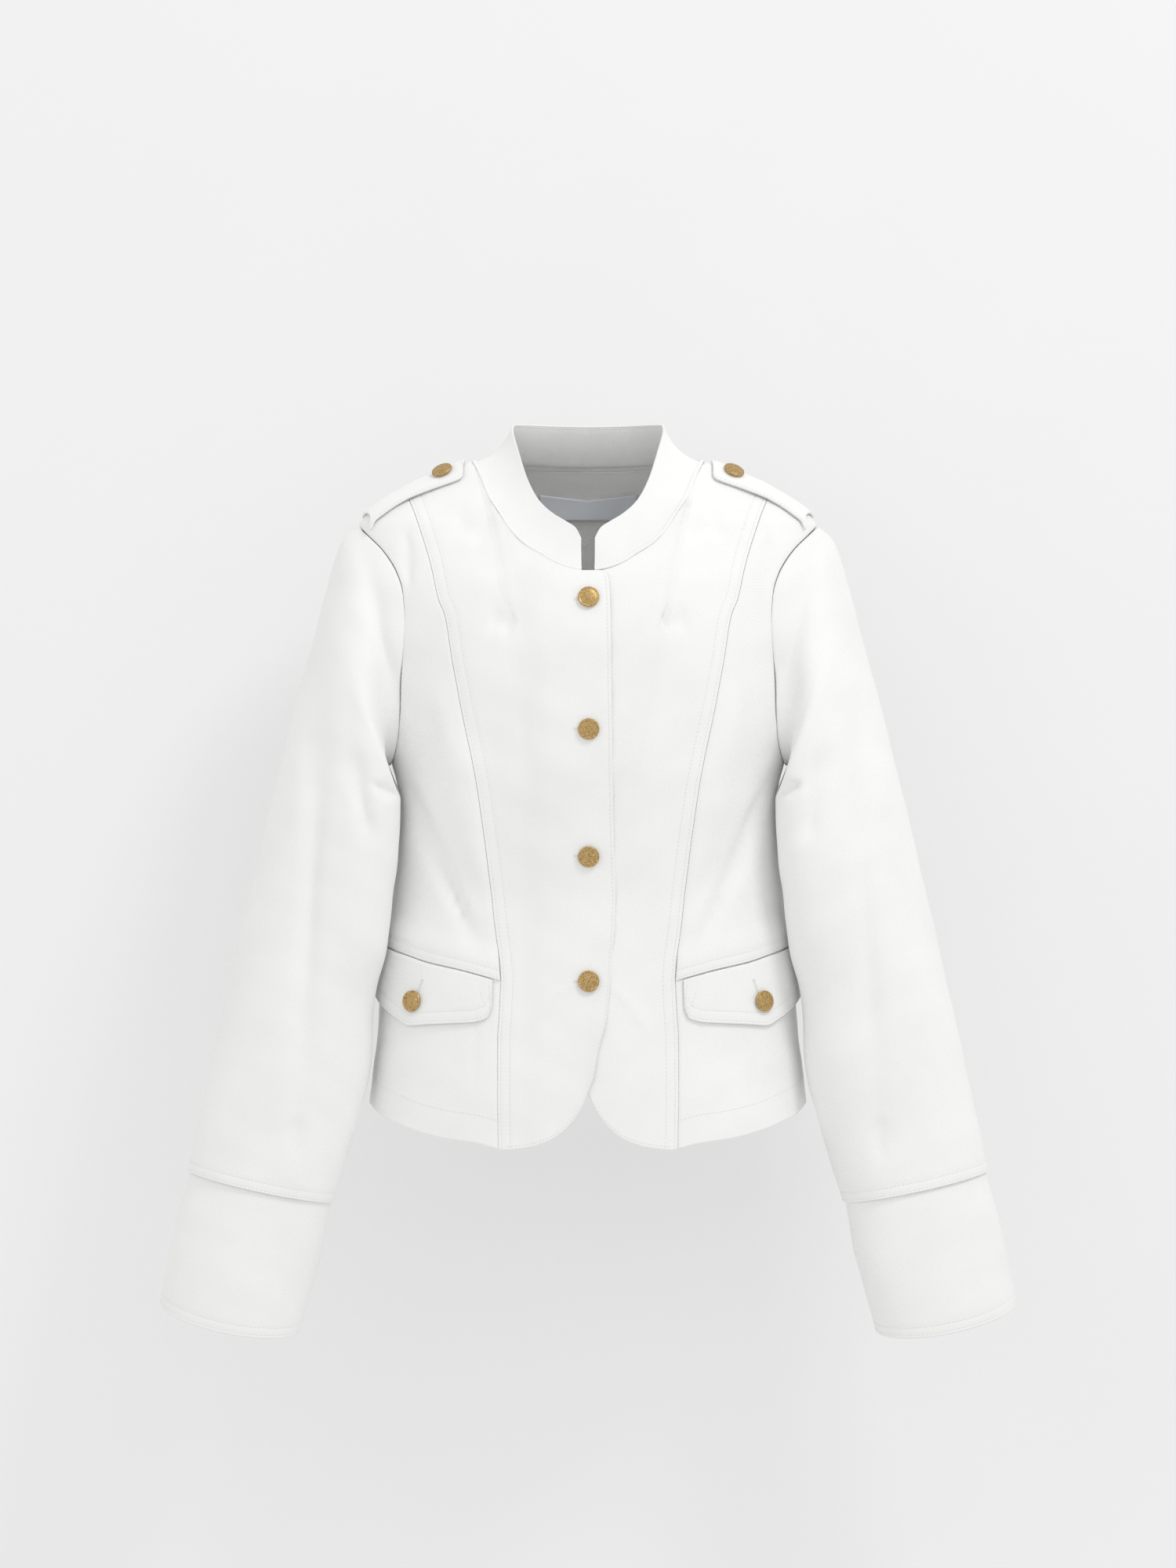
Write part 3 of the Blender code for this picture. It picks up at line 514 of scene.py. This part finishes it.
def front_panel(upper):
    """The wearer's left front, from its edge to the princess seam."""
    right = np.vstack([curve(SEAMS["princess_low"], 60), curve(SEAMS["princess_high"], 190)[1:]])
    shoulder = curve([(1.0, PRINCESS_HIGH[-1][1]), (1.0, NECK_POINT_HEIGHT)], 24)
    neck = curve(SEAMS["neck_front"], 48)
    overlap = curve(np.vstack([neck[-1:], on_side(FRONT_EDGE[-1:])]), 6)
    top = np.vstack([shoulder, neck[1:], overlap[1:]])
    bottom = curve(on_side(FRONT_HEM), len(top) - 1)
    edge = curve(on_side(FRONT_EDGE), len(right) - 1)
    grid = patch(bottom[::-1], top[::-1], edge, right)
    sewn = {"left": [2.6], "right": [2.8, 10.0]}
    steps = {"left": edge_steps(2.6), "right": edge_steps(2.8, 10.0), "bottom": edge_steps(3.0)}
    return panel(grid, steps, overlap_lift if upper else None, sewn=sewn, corners=((), (6, 54)))


def side_front_panel():
    """The left side front, from the princess seam to the side seam and armhole."""
    right = np.vstack([curve(SEAMS["side_high"], 50), curve(SEAMS["arm_front"], 90)[::-1][1:]])
    left = curve(SEAMS["princess_high"], len(right) - 1)
    top = curve([(1.0, PRINCESS_HIGH[-1][1]), (1.0, SHOULDER_TIP[1])], 40)
    bottom = curve(SEAMS["lap"], 40)
    sewn = {"bottom": [2.2, 8.2]}
    return panel(patch(bottom, top, left, right), {"bottom": edge_steps(2.2, 8.2)}, lap_lift,
                 sewn=sewn, corners=((50,), ()))


def skirt_panel():
    """The left lower side front; its top edge lies under the lap."""
    bottom = curve(np.vstack([on_side(HEM_SIDE), (1.0, HEM_AT_SIDE)]), 40)
    top = curve(SEAMS["lap"], 40)
    grid = patch(bottom, top, curve(SEAMS["princess_low"], 60), curve(SEAMS["side_low"], 60))
    under = top + np.column_stack([0.014 * (1 - top[:, 0]), np.full(len(top), LAP_DEPTH)])
    grid = np.concatenate([grid, under[None]])
    return panel(grid, {"bottom": edge_steps(3.0)})


def flap_panel():
    """The left pocket flap hangs from just under the lap edge."""
    rows = np.asarray(FLAP)
    around = np.linspace(rows[0, 0], rows[-1, 0], 60)
    bottom = read(rows[:, :2], around)[..., 0]
    top = read(LAP_ROWS, around)[..., 0] - 0.8
    up = np.linspace(0, 1, 16)[:, None]
    heights = bottom + (top - bottom) * up
    places = np.stack([np.broadcast_to(around, heights.shape), heights], axis=-1)
    rows_in = [2.5, 10.0]
    steps = {side: edge_steps(*rows_in) for side in ("left", "right", "bottom")}
    sewn = {side: rows_in for side in ("left", "right", "bottom")}
    return panel(places, steps, flap_lift, FLAP_WALL, sewn=sewn)


def back_panel():
    """The whole back, from the wearer's left side seam round to the right one."""
    side = np.vstack([curve(SEAMS["side_low"], 50), curve(SEAMS["side_high"], 50)[1:],
                      curve(SEAMS["arm_back"], 90, True)[::-1][1:]])
    shoulder = curve([(1.0, SHOULDER_TIP[1]), (1.0, NECK_POINT_HEIGHT)], 40)
    top = np.vstack([shoulder, curve(SEAMS["neck_back"], 40, True)[1:]])
    hem = curve([(1.0, HEM_AT_SIDE), (1.5, HEM_AT_BACK - 2), (2.0, HEM_AT_BACK)], len(top) - 1, True)
    middle = curve([(2.0, HEM_AT_BACK), (2.0, BACK_NECK_HEIGHT)], len(side) - 1)
    places = patch(hem, top, side, middle, behind=True)
    places = graded(places, form_points(places), 1, edge_steps(), [0.0], (40,))
    places = graded(places, form_points(places), 0, edge_steps(), edge_steps(), (50, 100))
    other = places[:, -2::-1] * np.array([-1, 1]) + np.array([4, 0])
    places = np.concatenate([places, other], axis=1)
    points, normals = form_points(places), form_normals(places)
    points = creased(points, normals, FRONT_CREASES, BACK_CREASES)
    return Shell(points, normals)


def sections(table, turns, armhole=None):
    """Rings of a sleeve on the left arm, each from its outer point forward to the inner one."""
    rows = [(index,) + tuple(row) for index, row in enumerate(table)]
    steps = np.linspace(0, len(table) - 1, 12 * (len(table) - 1) + 1)
    read_rows = read(rows, steps, flat_ends=False)[:, None]
    angle = np.linspace(0, 2 * math.pi, turns, endpoint=False)[None, :, None]
    outer, inner = read_rows[..., 0:3], read_rows[..., 3:6]
    middle, reach = (outer + inner) / 2, (outer - inner) / 2
    forward = np.sin(angle)
    dip = forward * np.concatenate([np.zeros_like(read_rows[..., :1]), read_rows[..., 6:8]], axis=-1)
    rings = middle + reach * np.cos(angle) - dip
    if armhole is not None:
        plain = rings[0]
        rings = rings + (armhole - plain) * read_rows[..., 8:9]
    return rings


def sleeve_shells():
    """The left sleeve from its armhole to the lapped edge, and the cuff beneath the lap."""
    turns = 108
    front = curve(SEAMS["arm_front"], turns // 2)
    back = curve(SEAMS["arm_back"], turns // 2, True)[1:-1][::-1]
    around = np.vstack([front, back])
    armhole, directions = form_points(around), form_normals(around)
    first = (*armhole[0], *armhole[turns // 2], ARMHOLE_DEPTH, 0, 1.0)
    rings = sections([first] + SLEEVE, turns, armhole)
    cuff = sections(CUFF, turns)
    shells = []
    for name, grid in (("sleeve", rings), ("cuff", cuff)):
        grid = grid[::-1, ::-1]
        if name == "sleeve":
            normals = ring_normals(grid)[-1]
            panel_normals = directions[::-1]
            turn = np.linalg.norm(np.cross(normals, panel_normals), axis=-1)
            turn = np.where((normals * panel_normals).sum(-1) > 0, turn, 1.0)
            back_off = 2 * SEAM_GAP + (WALL + SEAM_GAP) * turn
            top = [back_off, back_off + 0.8]
            steps = (edge_steps(2.2, 8.2), top)
        else:
            steps = (edge_steps(3.0, 9.0), edge_steps())
        grid = graded(grid, grid, 0, *steps)
        normals = ring_normals(grid)
        grid = creased(grid, normals, SLEEVE_CREASES, SLEEVE_BACK_CREASES)
        sewn = {"bottom": [2.2, 8.2] if name == "sleeve" else [3.0, 9.0]}
        shells.append(Shell(grid, ring_normals(grid), closed=True, sewn=sewn))
    return shells


def ring_normals(points):
    """Outward directions of a closed grid of rings."""
    level = np.roll(points, -1, axis=1) - np.roll(points, 1, axis=1)
    upward = np.gradient(points, axis=0)
    return unit(np.cross(level, upward))


def collar_shell():
    """A stand collar that flares to the neck seam and leaves a small gap at the front."""
    seam = np.vstack([curve(SEAMS["neck_back"], 60, True)[::-1], curve(SEAMS["neck_front"], 70)[1:]])
    feet = form_points(seam)
    lengths = running(feet)
    found = read(COLLAR, lengths / lengths[-1])
    tops, hollow = found[:, :3], found[:, 3]
    way = unit(-feet * np.array([1, 1, 0])) - np.array([0, 0, 0.8])
    up = np.linspace(0, 1, 20)[:, None, None]
    half = feet + (tops - feet) * up + way * 3 * up * (1 - up) * hollow[:, None]
    half = half[:, ::-1]
    foot_normals = form_normals(seam)[::-1]
    flip = np.array([-1.0, 1.0, 1.0])
    grid = np.concatenate([half * flip, half[:, -2::-1]], axis=1)
    foot_normals = np.concatenate([foot_normals * flip, foot_normals[-2::-1]])
    grid = graded(grid, grid, 0, edge_steps(3.0), edge_steps(2.2))
    values = np.concatenate([grid, np.broadcast_to(foot_normals, grid.shape)], axis=-1)
    values = graded(values, grid, 1, edge_steps(2.2), edge_steps(2.2))
    grid, foot_normals = values[..., :3], unit(values[..., 3:])
    level, upward = np.gradient(grid, axis=1), np.gradient(grid, axis=0)
    normals = unit(np.cross(level, upward))
    share = eased(running(grid, 0) / 8)[..., None]
    normals = unit(foot_normals * (1 - share) + normals * share)
    sewn = {"left": [2.2], "right": [2.2], "top": [2.2], "bottom": [3.0]}
    return Shell(grid, normals, COLLAR_WALL, sewn=sewn)


def epaulette_shell():
    """A strap over the left shoulder, from near the neck to the armhole."""
    rows = [(index,) + tuple(row) for index, row in enumerate(EPAULETTE)]
    stations = read(rows, np.linspace(0, len(EPAULETTE) - 1, 60))
    share = np.linspace(0, 1, 18)
    y = stations[:, 3:4] + (stations[:, 2:3] - stations[:, 3:4]) * share
    x = stations[:, 0:1] + stations[:, 1:2] * eased(share)
    height = height_at(x, y)
    around = np.where(y > 0, around_at(x, height, True), around_at(x, height))
    places = np.stack([around, height], axis=-1)
    points, normals = form_points(places), form_normals(places)
    points = np.stack([x, y, height], axis=-1) + normals * EPAULETTE_LIFT
    values = np.concatenate([points, normals], axis=-1)
    for axis in (1, 0):
        values = graded(values, values[..., :3], axis, edge_steps(2.2), edge_steps(2.2))
    points, normals = values[..., :3], unit(values[..., 3:])
    sewn = {side: [2.2] for side in ("left", "right", "bottom")}
    return Shell(points, normals, EPAULETTE_WALL, sewn=sewn)


def label_shell():
    """A bare woven label, sewn inside the back neck."""
    share = np.linspace(1, -1, 40)[None, :]
    up = np.linspace(0, 1, 14)[:, None]
    dip = LABEL_DIP * (1 - np.abs(share)) * up
    height = LABEL_TOP - LABEL_HEIGHT * (1 - up) - dip
    around = around_at(np.abs(share) * LABEL_HALF_WIDTH + 0 * up, height, True)
    around = np.where(share >= 0, around, 4 - around)
    places = np.stack([around, height], axis=-1)
    points, normals = form_points(places), form_normals(places)
    points = points - normals * (LABEL_WALL + LABEL_STAND_OFF)
    if points[0, 1, 0] > points[0, 0, 0]:
        points, normals = points[:, ::-1], normals[:, ::-1]
    return Shell(points, normals, LABEL_WALL)


def make_piece(name, mesh, material, replaced=()):
    """Links a mesh as a piece of the jacket and hides the plain parts it replaces."""
    mesh.materials.append(material)
    piece = bpy.data.objects.new(name, mesh)
    bpy.context.scene.collection.objects.link(piece)
    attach(piece, "root")
    if replaced:
        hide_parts(*replaced)
    return piece


def shell_mesh(name, shell):
    """The closed mesh of a shell, with its outer face, inner face and edges."""
    rows, columns = shell.points.shape[:2]
    inside = rows * columns
    number = np.arange(inside).reshape(rows, columns)
    if shell.closed:
        number = np.concatenate([number, number[:, :1]], axis=1)
    quads = np.stack([number[:-1, :-1], number[:-1, 1:], number[1:, 1:], number[1:, :-1]], axis=-1)
    quads = quads.reshape(-1, 4)
    low, high = number[0], number[-1]
    faces = [quads, inside + quads[:, ::-1],
             np.stack([low[1:], low[:-1], inside + low[:-1], inside + low[1:]], axis=-1),
             np.stack([high[:-1], high[1:], inside + high[1:], inside + high[:-1]], axis=-1)]
    if not shell.closed:
        near, far = number[:, 0], number[:, -1]
        faces.append(np.stack([near[:-1], near[1:], inside + near[1:], inside + near[:-1]], axis=-1))
        faces.append(np.stack([far[1:], far[:-1], inside + far[:-1], inside + far[1:]], axis=-1))
    faces = np.concatenate(faces)
    corners = np.concatenate([shell.outer.reshape(-1, 3), shell.points.reshape(-1, 3)]) * MM
    mesh = bpy.data.meshes.new(name)
    mesh.from_pydata(corners.tolist(), [], faces.tolist())
    layer = mesh.uv_layers.new(name="cloth")
    spots = np.stack([shell.grain * shell.far["left"], shell.far["bottom"]], axis=-1) * MM
    spots = np.concatenate([spots.reshape(-1, 2)] * 2)
    layer.data.foreach_set("uv", spots[faces.reshape(-1)].reshape(-1))
    mesh.shade_smooth()
    return mesh


def stitch_mesh(name, lines, length, pitch, radius):
    """One mesh of all the stitches along lines of points and directions on the cloth."""
    heights = np.array([-0.12, 0.14, 0.14, -0.12])
    shares = np.array([0.0, 0.25, 0.75, 1.0])
    radii = radius * np.array([0.55, 1.0, 1.0, 0.55])
    sides = np.arange(5) * 2 * math.pi / 5
    corners, faces = [], []
    for line in lines:
        lengths = running(line[:, :3])
        count = int((lengths[-1] - length) // pitch) + 1
        starts = np.arange(max(0, count)) * pitch
        for start in starts:
            place = start + shares * length
            found = np.stack([np.interp(place, lengths, line[:, k]) for k in range(6)], axis=-1)
            up = unit(found[:, 3:])
            middle = found[:, :3] + up * heights[:, None]
            way = unit(found[-1:, :3] - found[:1, :3])
            over = unit(np.cross(way, up))
            ring = (over[:, None] * np.cos(sides)[None, :, None] + up[:, None] * np.sin(sides)[None, :, None])
            base = len(corners) * 20
            corners.append((middle[:, None] + ring * radii[:, None, None]).reshape(-1, 3))
            for step in range(3):
                for side in range(5):
                    low, after = base + step * 5 + side, base + step * 5 + (side + 1) % 5
                    faces.append((low, after, after + 5, low + 5))
    mesh = bpy.data.meshes.new(name)
    mesh.from_pydata((np.concatenate(corners) * MM).tolist(), [], faces)
    mesh.shade_smooth()
    return mesh


def button_mesh(name):
    """A turned brass button: domed face, shallow groove and rolled rim, in its own frame."""
    profile = [(0.0, 0.80), (0.2, 0.79), (0.4, 0.76), (0.6, 0.70), (0.74, 0.63), (0.80, 0.60),
               (0.84, 0.61), (0.88, 0.66), (0.92, 0.67), (0.96, 0.62), (0.99, 0.50), (1.0, 0.36),
               (0.985, 0.2), (0.94, 0.06), (0.9, 0.0), (0.0, 0.0)]
    segments = 48
    angle = np.arange(segments) * 2 * math.pi / segments
    corners = [(0, 0, profile[0][1] * BUTTON_HEIGHT), (0, 0, 0)]
    for radius, height in profile[1:-1]:
        for turn in angle:
            corners.append((BUTTON_RADIUS * radius * math.cos(turn),
                            BUTTON_RADIUS * radius * math.sin(turn), BUTTON_HEIGHT * height))
    faces = []
    rings = len(profile) - 2
    last = 2 + (rings - 1) * segments
    for number in range(segments):
        after = (number + 1) % segments
        faces.append((0, 2 + number, 2 + after))
        faces.append((1, last + after, last + number))
        for ring in range(rings - 1):
            low, high = 2 + ring * segments, 2 + (ring + 1) * segments
            faces.append((low + number, high + number, high + after, low + after))
    mesh = bpy.data.meshes.new(name)
    mesh.from_pydata([Vector(corner) * MM for corner in corners], [], faces)
    mesh.shade_smooth()
    return mesh


def place_button(name, place, stand_off):
    """A brass button standing on its seat, in place of the plain one."""
    outward = Vector(form_normals(np.array(place)))
    seat = Vector(form_points(np.array(place))) + outward * stand_off
    mesh = button_mesh(name)
    turn = outward.to_track_quat("Z", "Y").to_matrix().to_4x4()
    turn.translation = seat * MM
    mesh.transform(turn)
    make_piece(name, mesh, BRASS, [name.replace("brass_", "")])


def new_material(name):
    """A material with its nodes, its shader, and a function that adds a node."""
    material = bpy.data.materials.new(name)
    material.use_nodes = True
    tree = material.node_tree
    shader = tree.nodes["Principled BSDF"]

    def add(kind, **settings):
        node = tree.nodes.new(kind)
        for key, value in settings.items():
            if key in node.inputs:
                node.inputs[key].default_value = value
            else:
                setattr(node, key, value)
        return node

    return material, tree, shader, add


def cloth_material(name, dark, light, roughness, weave, bump_height):
    """Woven cotton: diagonal ribs, thread noise, and slight changes of colour."""
    material, tree, shader, add = new_material(name)
    link = tree.links.new
    spot = add("ShaderNodeUVMap", uv_map="cloth")
    place = add("ShaderNodeTexCoord")
    ribs = add("ShaderNodeTexWave", wave_type="BANDS", bands_direction="DIAGONAL", Scale=weave,
               Distortion=1.5, Detail=2.0)
    ribs.inputs["Detail Scale"].default_value = 3.0
    link(spot.outputs["UV"], ribs.inputs["Vector"])
    threads = add("ShaderNodeTexNoise", Scale=900.0, Detail=3.0, Roughness=0.6)
    link(place.outputs["Object"], threads.inputs["Vector"])
    patches = add("ShaderNodeTexNoise", Scale=14.0, Detail=4.0, Roughness=0.55)
    link(place.outputs["Object"], patches.inputs["Vector"])
    mixed = add("ShaderNodeMix", data_type="RGBA")
    mixed.inputs[6].default_value = (*dark, 1)
    mixed.inputs[7].default_value = (*light, 1)
    total = add("ShaderNodeMath", operation="MULTIPLY_ADD")
    total.inputs[1].default_value = 0.45
    link(threads.outputs["Fac"], total.inputs[0])
    link(patches.outputs["Fac"], total.inputs[2])
    link(total.outputs["Value"], mixed.inputs["Factor"])
    link(mixed.outputs[2], shader.inputs["Base Color"])
    height = add("ShaderNodeMath", operation="MULTIPLY_ADD")
    height.inputs[1].default_value = 0.6
    link(ribs.outputs["Fac"], height.inputs[0])
    link(threads.outputs["Fac"], height.inputs[2])
    bump = add("ShaderNodeBump", Strength=0.5, Distance=bump_height)
    link(height.outputs["Value"], bump.inputs["Height"])
    link(bump.outputs["Normal"], shader.inputs["Normal"])
    shader.inputs["Roughness"].default_value = roughness
    shader.inputs["Sheen Weight"].default_value = 0.1
    shader.inputs["Sheen Roughness"].default_value = 0.6
    shader.inputs["Specular IOR Level"].default_value = 0.25
    return material


def brass_material():
    """Speckled antique brass with darker patches and a soft polish."""
    material, tree, shader, add = new_material("antique_brass")
    link = tree.links.new
    place = add("ShaderNodeTexCoord")
    speckle = add("ShaderNodeTexNoise", Scale=900.0, Detail=5.0, Roughness=0.7)
    link(place.outputs["Object"], speckle.inputs["Vector"])
    ramp = add("ShaderNodeValToRGB")
    ramp.color_ramp.elements[0].position = 0.36
    ramp.color_ramp.elements[0].color = (0.30, 0.18, 0.06, 1)
    ramp.color_ramp.elements[1].position = 0.66
    ramp.color_ramp.elements[1].color = (0.72, 0.52, 0.24, 1)
    link(speckle.outputs["Fac"], ramp.inputs["Fac"])
    link(ramp.outputs["Color"], shader.inputs["Base Color"])
    rough = add("ShaderNodeMapRange")
    rough.inputs["To Min"].default_value = 0.55
    rough.inputs["To Max"].default_value = 0.3
    link(speckle.outputs["Fac"], rough.inputs["Value"])
    link(rough.outputs["Result"], shader.inputs["Roughness"])
    bump = add("ShaderNodeBump", Strength=0.35, Distance=0.0002)
    link(speckle.outputs["Fac"], bump.inputs["Height"])
    link(bump.outputs["Normal"], shader.inputs["Normal"])
    shader.inputs["Metallic"].default_value = 1.0
    return material


def mirrored_line(line):
    """A line of points and directions on the other side of the jacket."""
    return line * np.array([-1.0, 1, 1, -1, 1, 1])


def bar_lines(shell, start, end):
    """Short stitches across both sides of a buttonhole, seen from the front between two places."""
    start, end = np.array(start), np.array(end)
    count = int(np.linalg.norm(end - start) / BAR_PITCH)
    way = (end - start) / np.linalg.norm(end - start)
    over = np.array([-way[1], way[0]])
    lines = []
    for number in range(count + 1):
        spot = start + way * number * BAR_PITCH
        for side in (1, -1):
            ends = [on_shell(shell, spot + over * side * reach) for reach in BAR_REACH]
            lines.append(np.array(ends))
    return lines


def on_shell(shell, spot):
    """The point and direction of a shell's outer face at a place seen from the front."""
    points, normals = shell.outer.reshape(-1, 3), shell.normals.reshape(-1, 3)
    away = np.linalg.norm(points[:, [0, 2]] - spot, axis=1) + 1e3 * (normals[:, 1] > 0)
    index = int(np.argmin(away))
    point, normal = points[index], normals[index]
    shift = spot - point[[0, 2]]
    depth = -(normal[0] * shift[0] + normal[2] * shift[1]) / normal[1]
    return np.concatenate([point + np.array([shift[0], depth, shift[1]]), normal])


def dress():
    """Makes every piece of cloth with its sewing."""
    front, upper = front_panel(upper=False), front_panel(upper=True)
    sleeve, cuff = sleeve_shells()
    pairs = {"front": front, "side_front": side_front_panel(), "skirt": skirt_panel(),
             "flap": flap_panel(), "epaulette": epaulette_shell(), "sleeve": sleeve, "cuff": cuff}
    for kind, shell in pairs.items():
        make_cloth(kind, f"{kind}_left", shell, False)
        make_cloth(kind, f"{kind}_right", upper if kind == "front" else shell, True)
    make_cloth("back", "back", back_panel(), False)
    make_cloth("collar", "collar", collar_shell(), False)
    make_cloth("neck_label", "neck_label", label_shell(), False)


def make_cloth(kind, name, shell, on_right):
    """One piece of cloth in place of its plain solid, with its stitches."""
    lines = [shell.line(side, distance, trim, trim) for side, distance, trim in SEWING[kind]]
    bars = []
    if kind == "front" and on_right:
        for height in FRONT_BUTTON_HEIGHTS:
            bars += bar_lines(shell, (FRONT_BAR[0], height), (FRONT_BAR[1], height))
    if kind == "flap":
        bars += bar_lines(shell, *FLAP_BAR)
    if on_right:
        shell = shell.mirror()
        lines = [mirrored_line(line) for line in lines]
        bars = [mirrored_line(line) for line in bars]
    label = kind == "neck_label"
    mesh = shell_mesh(f"cloth_{name}", shell)
    piece = make_piece(f"cloth_{name}", mesh, SATIN if label else TWILL, [name])
    if lines:
        mesh = stitch_mesh(f"stitches_{name}", lines, STITCH_LENGTH, STITCH_PITCH, STITCH_RADIUS)
        make_piece(f"stitches_{name}", mesh, THREAD)
    if bars:
        mesh = stitch_mesh(f"buttonhole_{name}", bars, BAR_LENGTH, BAR_PITCH, BAR_RADIUS)
        make_piece(f"buttonhole_{name}", mesh, THREAD)


def make_buttons():
    """Four front buttons, one on each epaulette and one on each flap."""
    for number, height in enumerate(FRONT_BUTTON_HEIGHTS, start=1):
        place = (float(around_at(FRONT_BUTTON_ACROSS, height)), height)
        place_button(f"brass_button_front_{number}", place, OVERLAP_LIFT + WALL + 0.5)
    for side, sign in (("left", 1), ("right", -1)):
        across, height = FLAP_BUTTON
        around = float(around_at(across, height))
        place = np.array([around, height])
        stand_off = float(flap_lift(place, form_points(place))) + FLAP_WALL + 0.7
        place_button(f"brass_button_flap_{side}", (sign * around, height), stand_off)
        x, y = EPAULETTE_BUTTON
        height = float(height_at(np.array(x), np.array(y)))
        around = float(around_at(x, height))
        place_button(f"brass_button_epaulette_{side}", (sign * around, height),
                     EPAULETTE_LIFT + EPAULETTE_WALL + 0.5)


def add_light(name, place, aim, size, energy):
    """A soft square light that faces a point."""
    data = bpy.data.lights.new(name, "AREA")
    data.size, data.energy = size, energy
    light = bpy.data.objects.new(name, data)
    light.location = place
    light.rotation_euler = (Vector(aim) - Vector(place)).to_track_quat("-Z", "Y").to_euler()
    bpy.context.scene.collection.objects.link(light)


def picture():
    """The camera, lights, world and the pale backdrop of the photograph."""
    scene = bpy.context.scene
    data = bpy.data.cameras.new("camera")
    data.lens, data.sensor_width = 285.7, 36
    data.clip_end = 100
    camera = bpy.data.objects.new("camera", data)
    camera.location = (0, -10, -0.257)
    camera.rotation_euler = (math.pi / 2, 0, 0)
    scene.collection.objects.link(camera)
    scene.camera = camera
    scene.view_settings.view_transform = "Standard"
    world = bpy.data.worlds.new("pale")
    world.use_nodes = True
    world.node_tree.nodes["Background"].inputs["Color"].default_value = (1.0, 1.0, 1.0, 1)
    world.node_tree.nodes["Background"].inputs["Strength"].default_value = 0.86
    scene.world = world
    centre = (0, 0, -0.3)
    add_light("key", (1.5, -1.7, 2.3), centre, 0.8, 30)
    add_light("fill", (-2.0, -2.0, 0.6), centre, 1.6, 4)
    mesh = bpy.data.meshes.new("backdrop")
    mesh.from_pydata([(-3, 0.14, -3), (3, 0.14, -3), (3, 0.14, 3), (-3, 0.14, 3)], [], [(0, 1, 2, 3)])
    backdrop = bpy.data.objects.new("backdrop", mesh)
    scene.collection.objects.link(backdrop)
    material, tree, shader, add = new_material("paper")
    grain = add("ShaderNodeTexNoise", Scale=60.0)
    shade = add("ShaderNodeMapRange")
    shade.inputs["To Min"].default_value = 0.46
    shade.inputs["To Max"].default_value = 0.47
    tree.links.new(grain.outputs["Fac"], shade.inputs["Value"])
    tree.links.new(shade.outputs["Result"], shader.inputs["Base Color"])
    shader.inputs["Roughness"].default_value = 1.0
    shader.inputs["Specular IOR Level"].default_value = 0.0
    shader.inputs["Emission Color"].default_value = (1, 1, 1, 1)
    shader.inputs["Emission Strength"].default_value = 0.40
    clear = add("ShaderNodeBsdfTransparent")
    either = add("ShaderNodeMixShader")
    facing = add("ShaderNodeNewGeometry")
    tree.links.new(facing.outputs["Backfacing"], either.inputs["Fac"])
    tree.links.new(shader.outputs["BSDF"], either.inputs[1])
    tree.links.new(clear.outputs["BSDF"], either.inputs[2])
    tree.links.new(either.outputs["Shader"], tree.nodes["Material Output"].inputs["Surface"])
    mesh.materials.append(material)


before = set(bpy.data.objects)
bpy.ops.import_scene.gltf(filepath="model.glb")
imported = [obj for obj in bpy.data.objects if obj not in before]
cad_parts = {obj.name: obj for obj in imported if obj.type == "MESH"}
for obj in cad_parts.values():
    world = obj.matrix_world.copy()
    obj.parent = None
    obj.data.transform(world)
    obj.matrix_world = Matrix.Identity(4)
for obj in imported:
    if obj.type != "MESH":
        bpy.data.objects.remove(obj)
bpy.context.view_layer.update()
TWILL = cloth_material("white_twill", (0.80, 0.80, 0.79), (0.90, 0.90, 0.89), 0.9, 260.0, 0.00025)
SATIN = cloth_material("label_satin", (0.70, 0.74, 0.79), (0.80, 0.83, 0.87), 0.5, 300.0, 0.0001)
BRASS = brass_material()
THREAD = cloth_material("cotton_thread", (0.78, 0.78, 0.76), (0.86, 0.86, 0.84), 0.7, 900.0, 0.0001)
dress()
make_buttons()
picture()
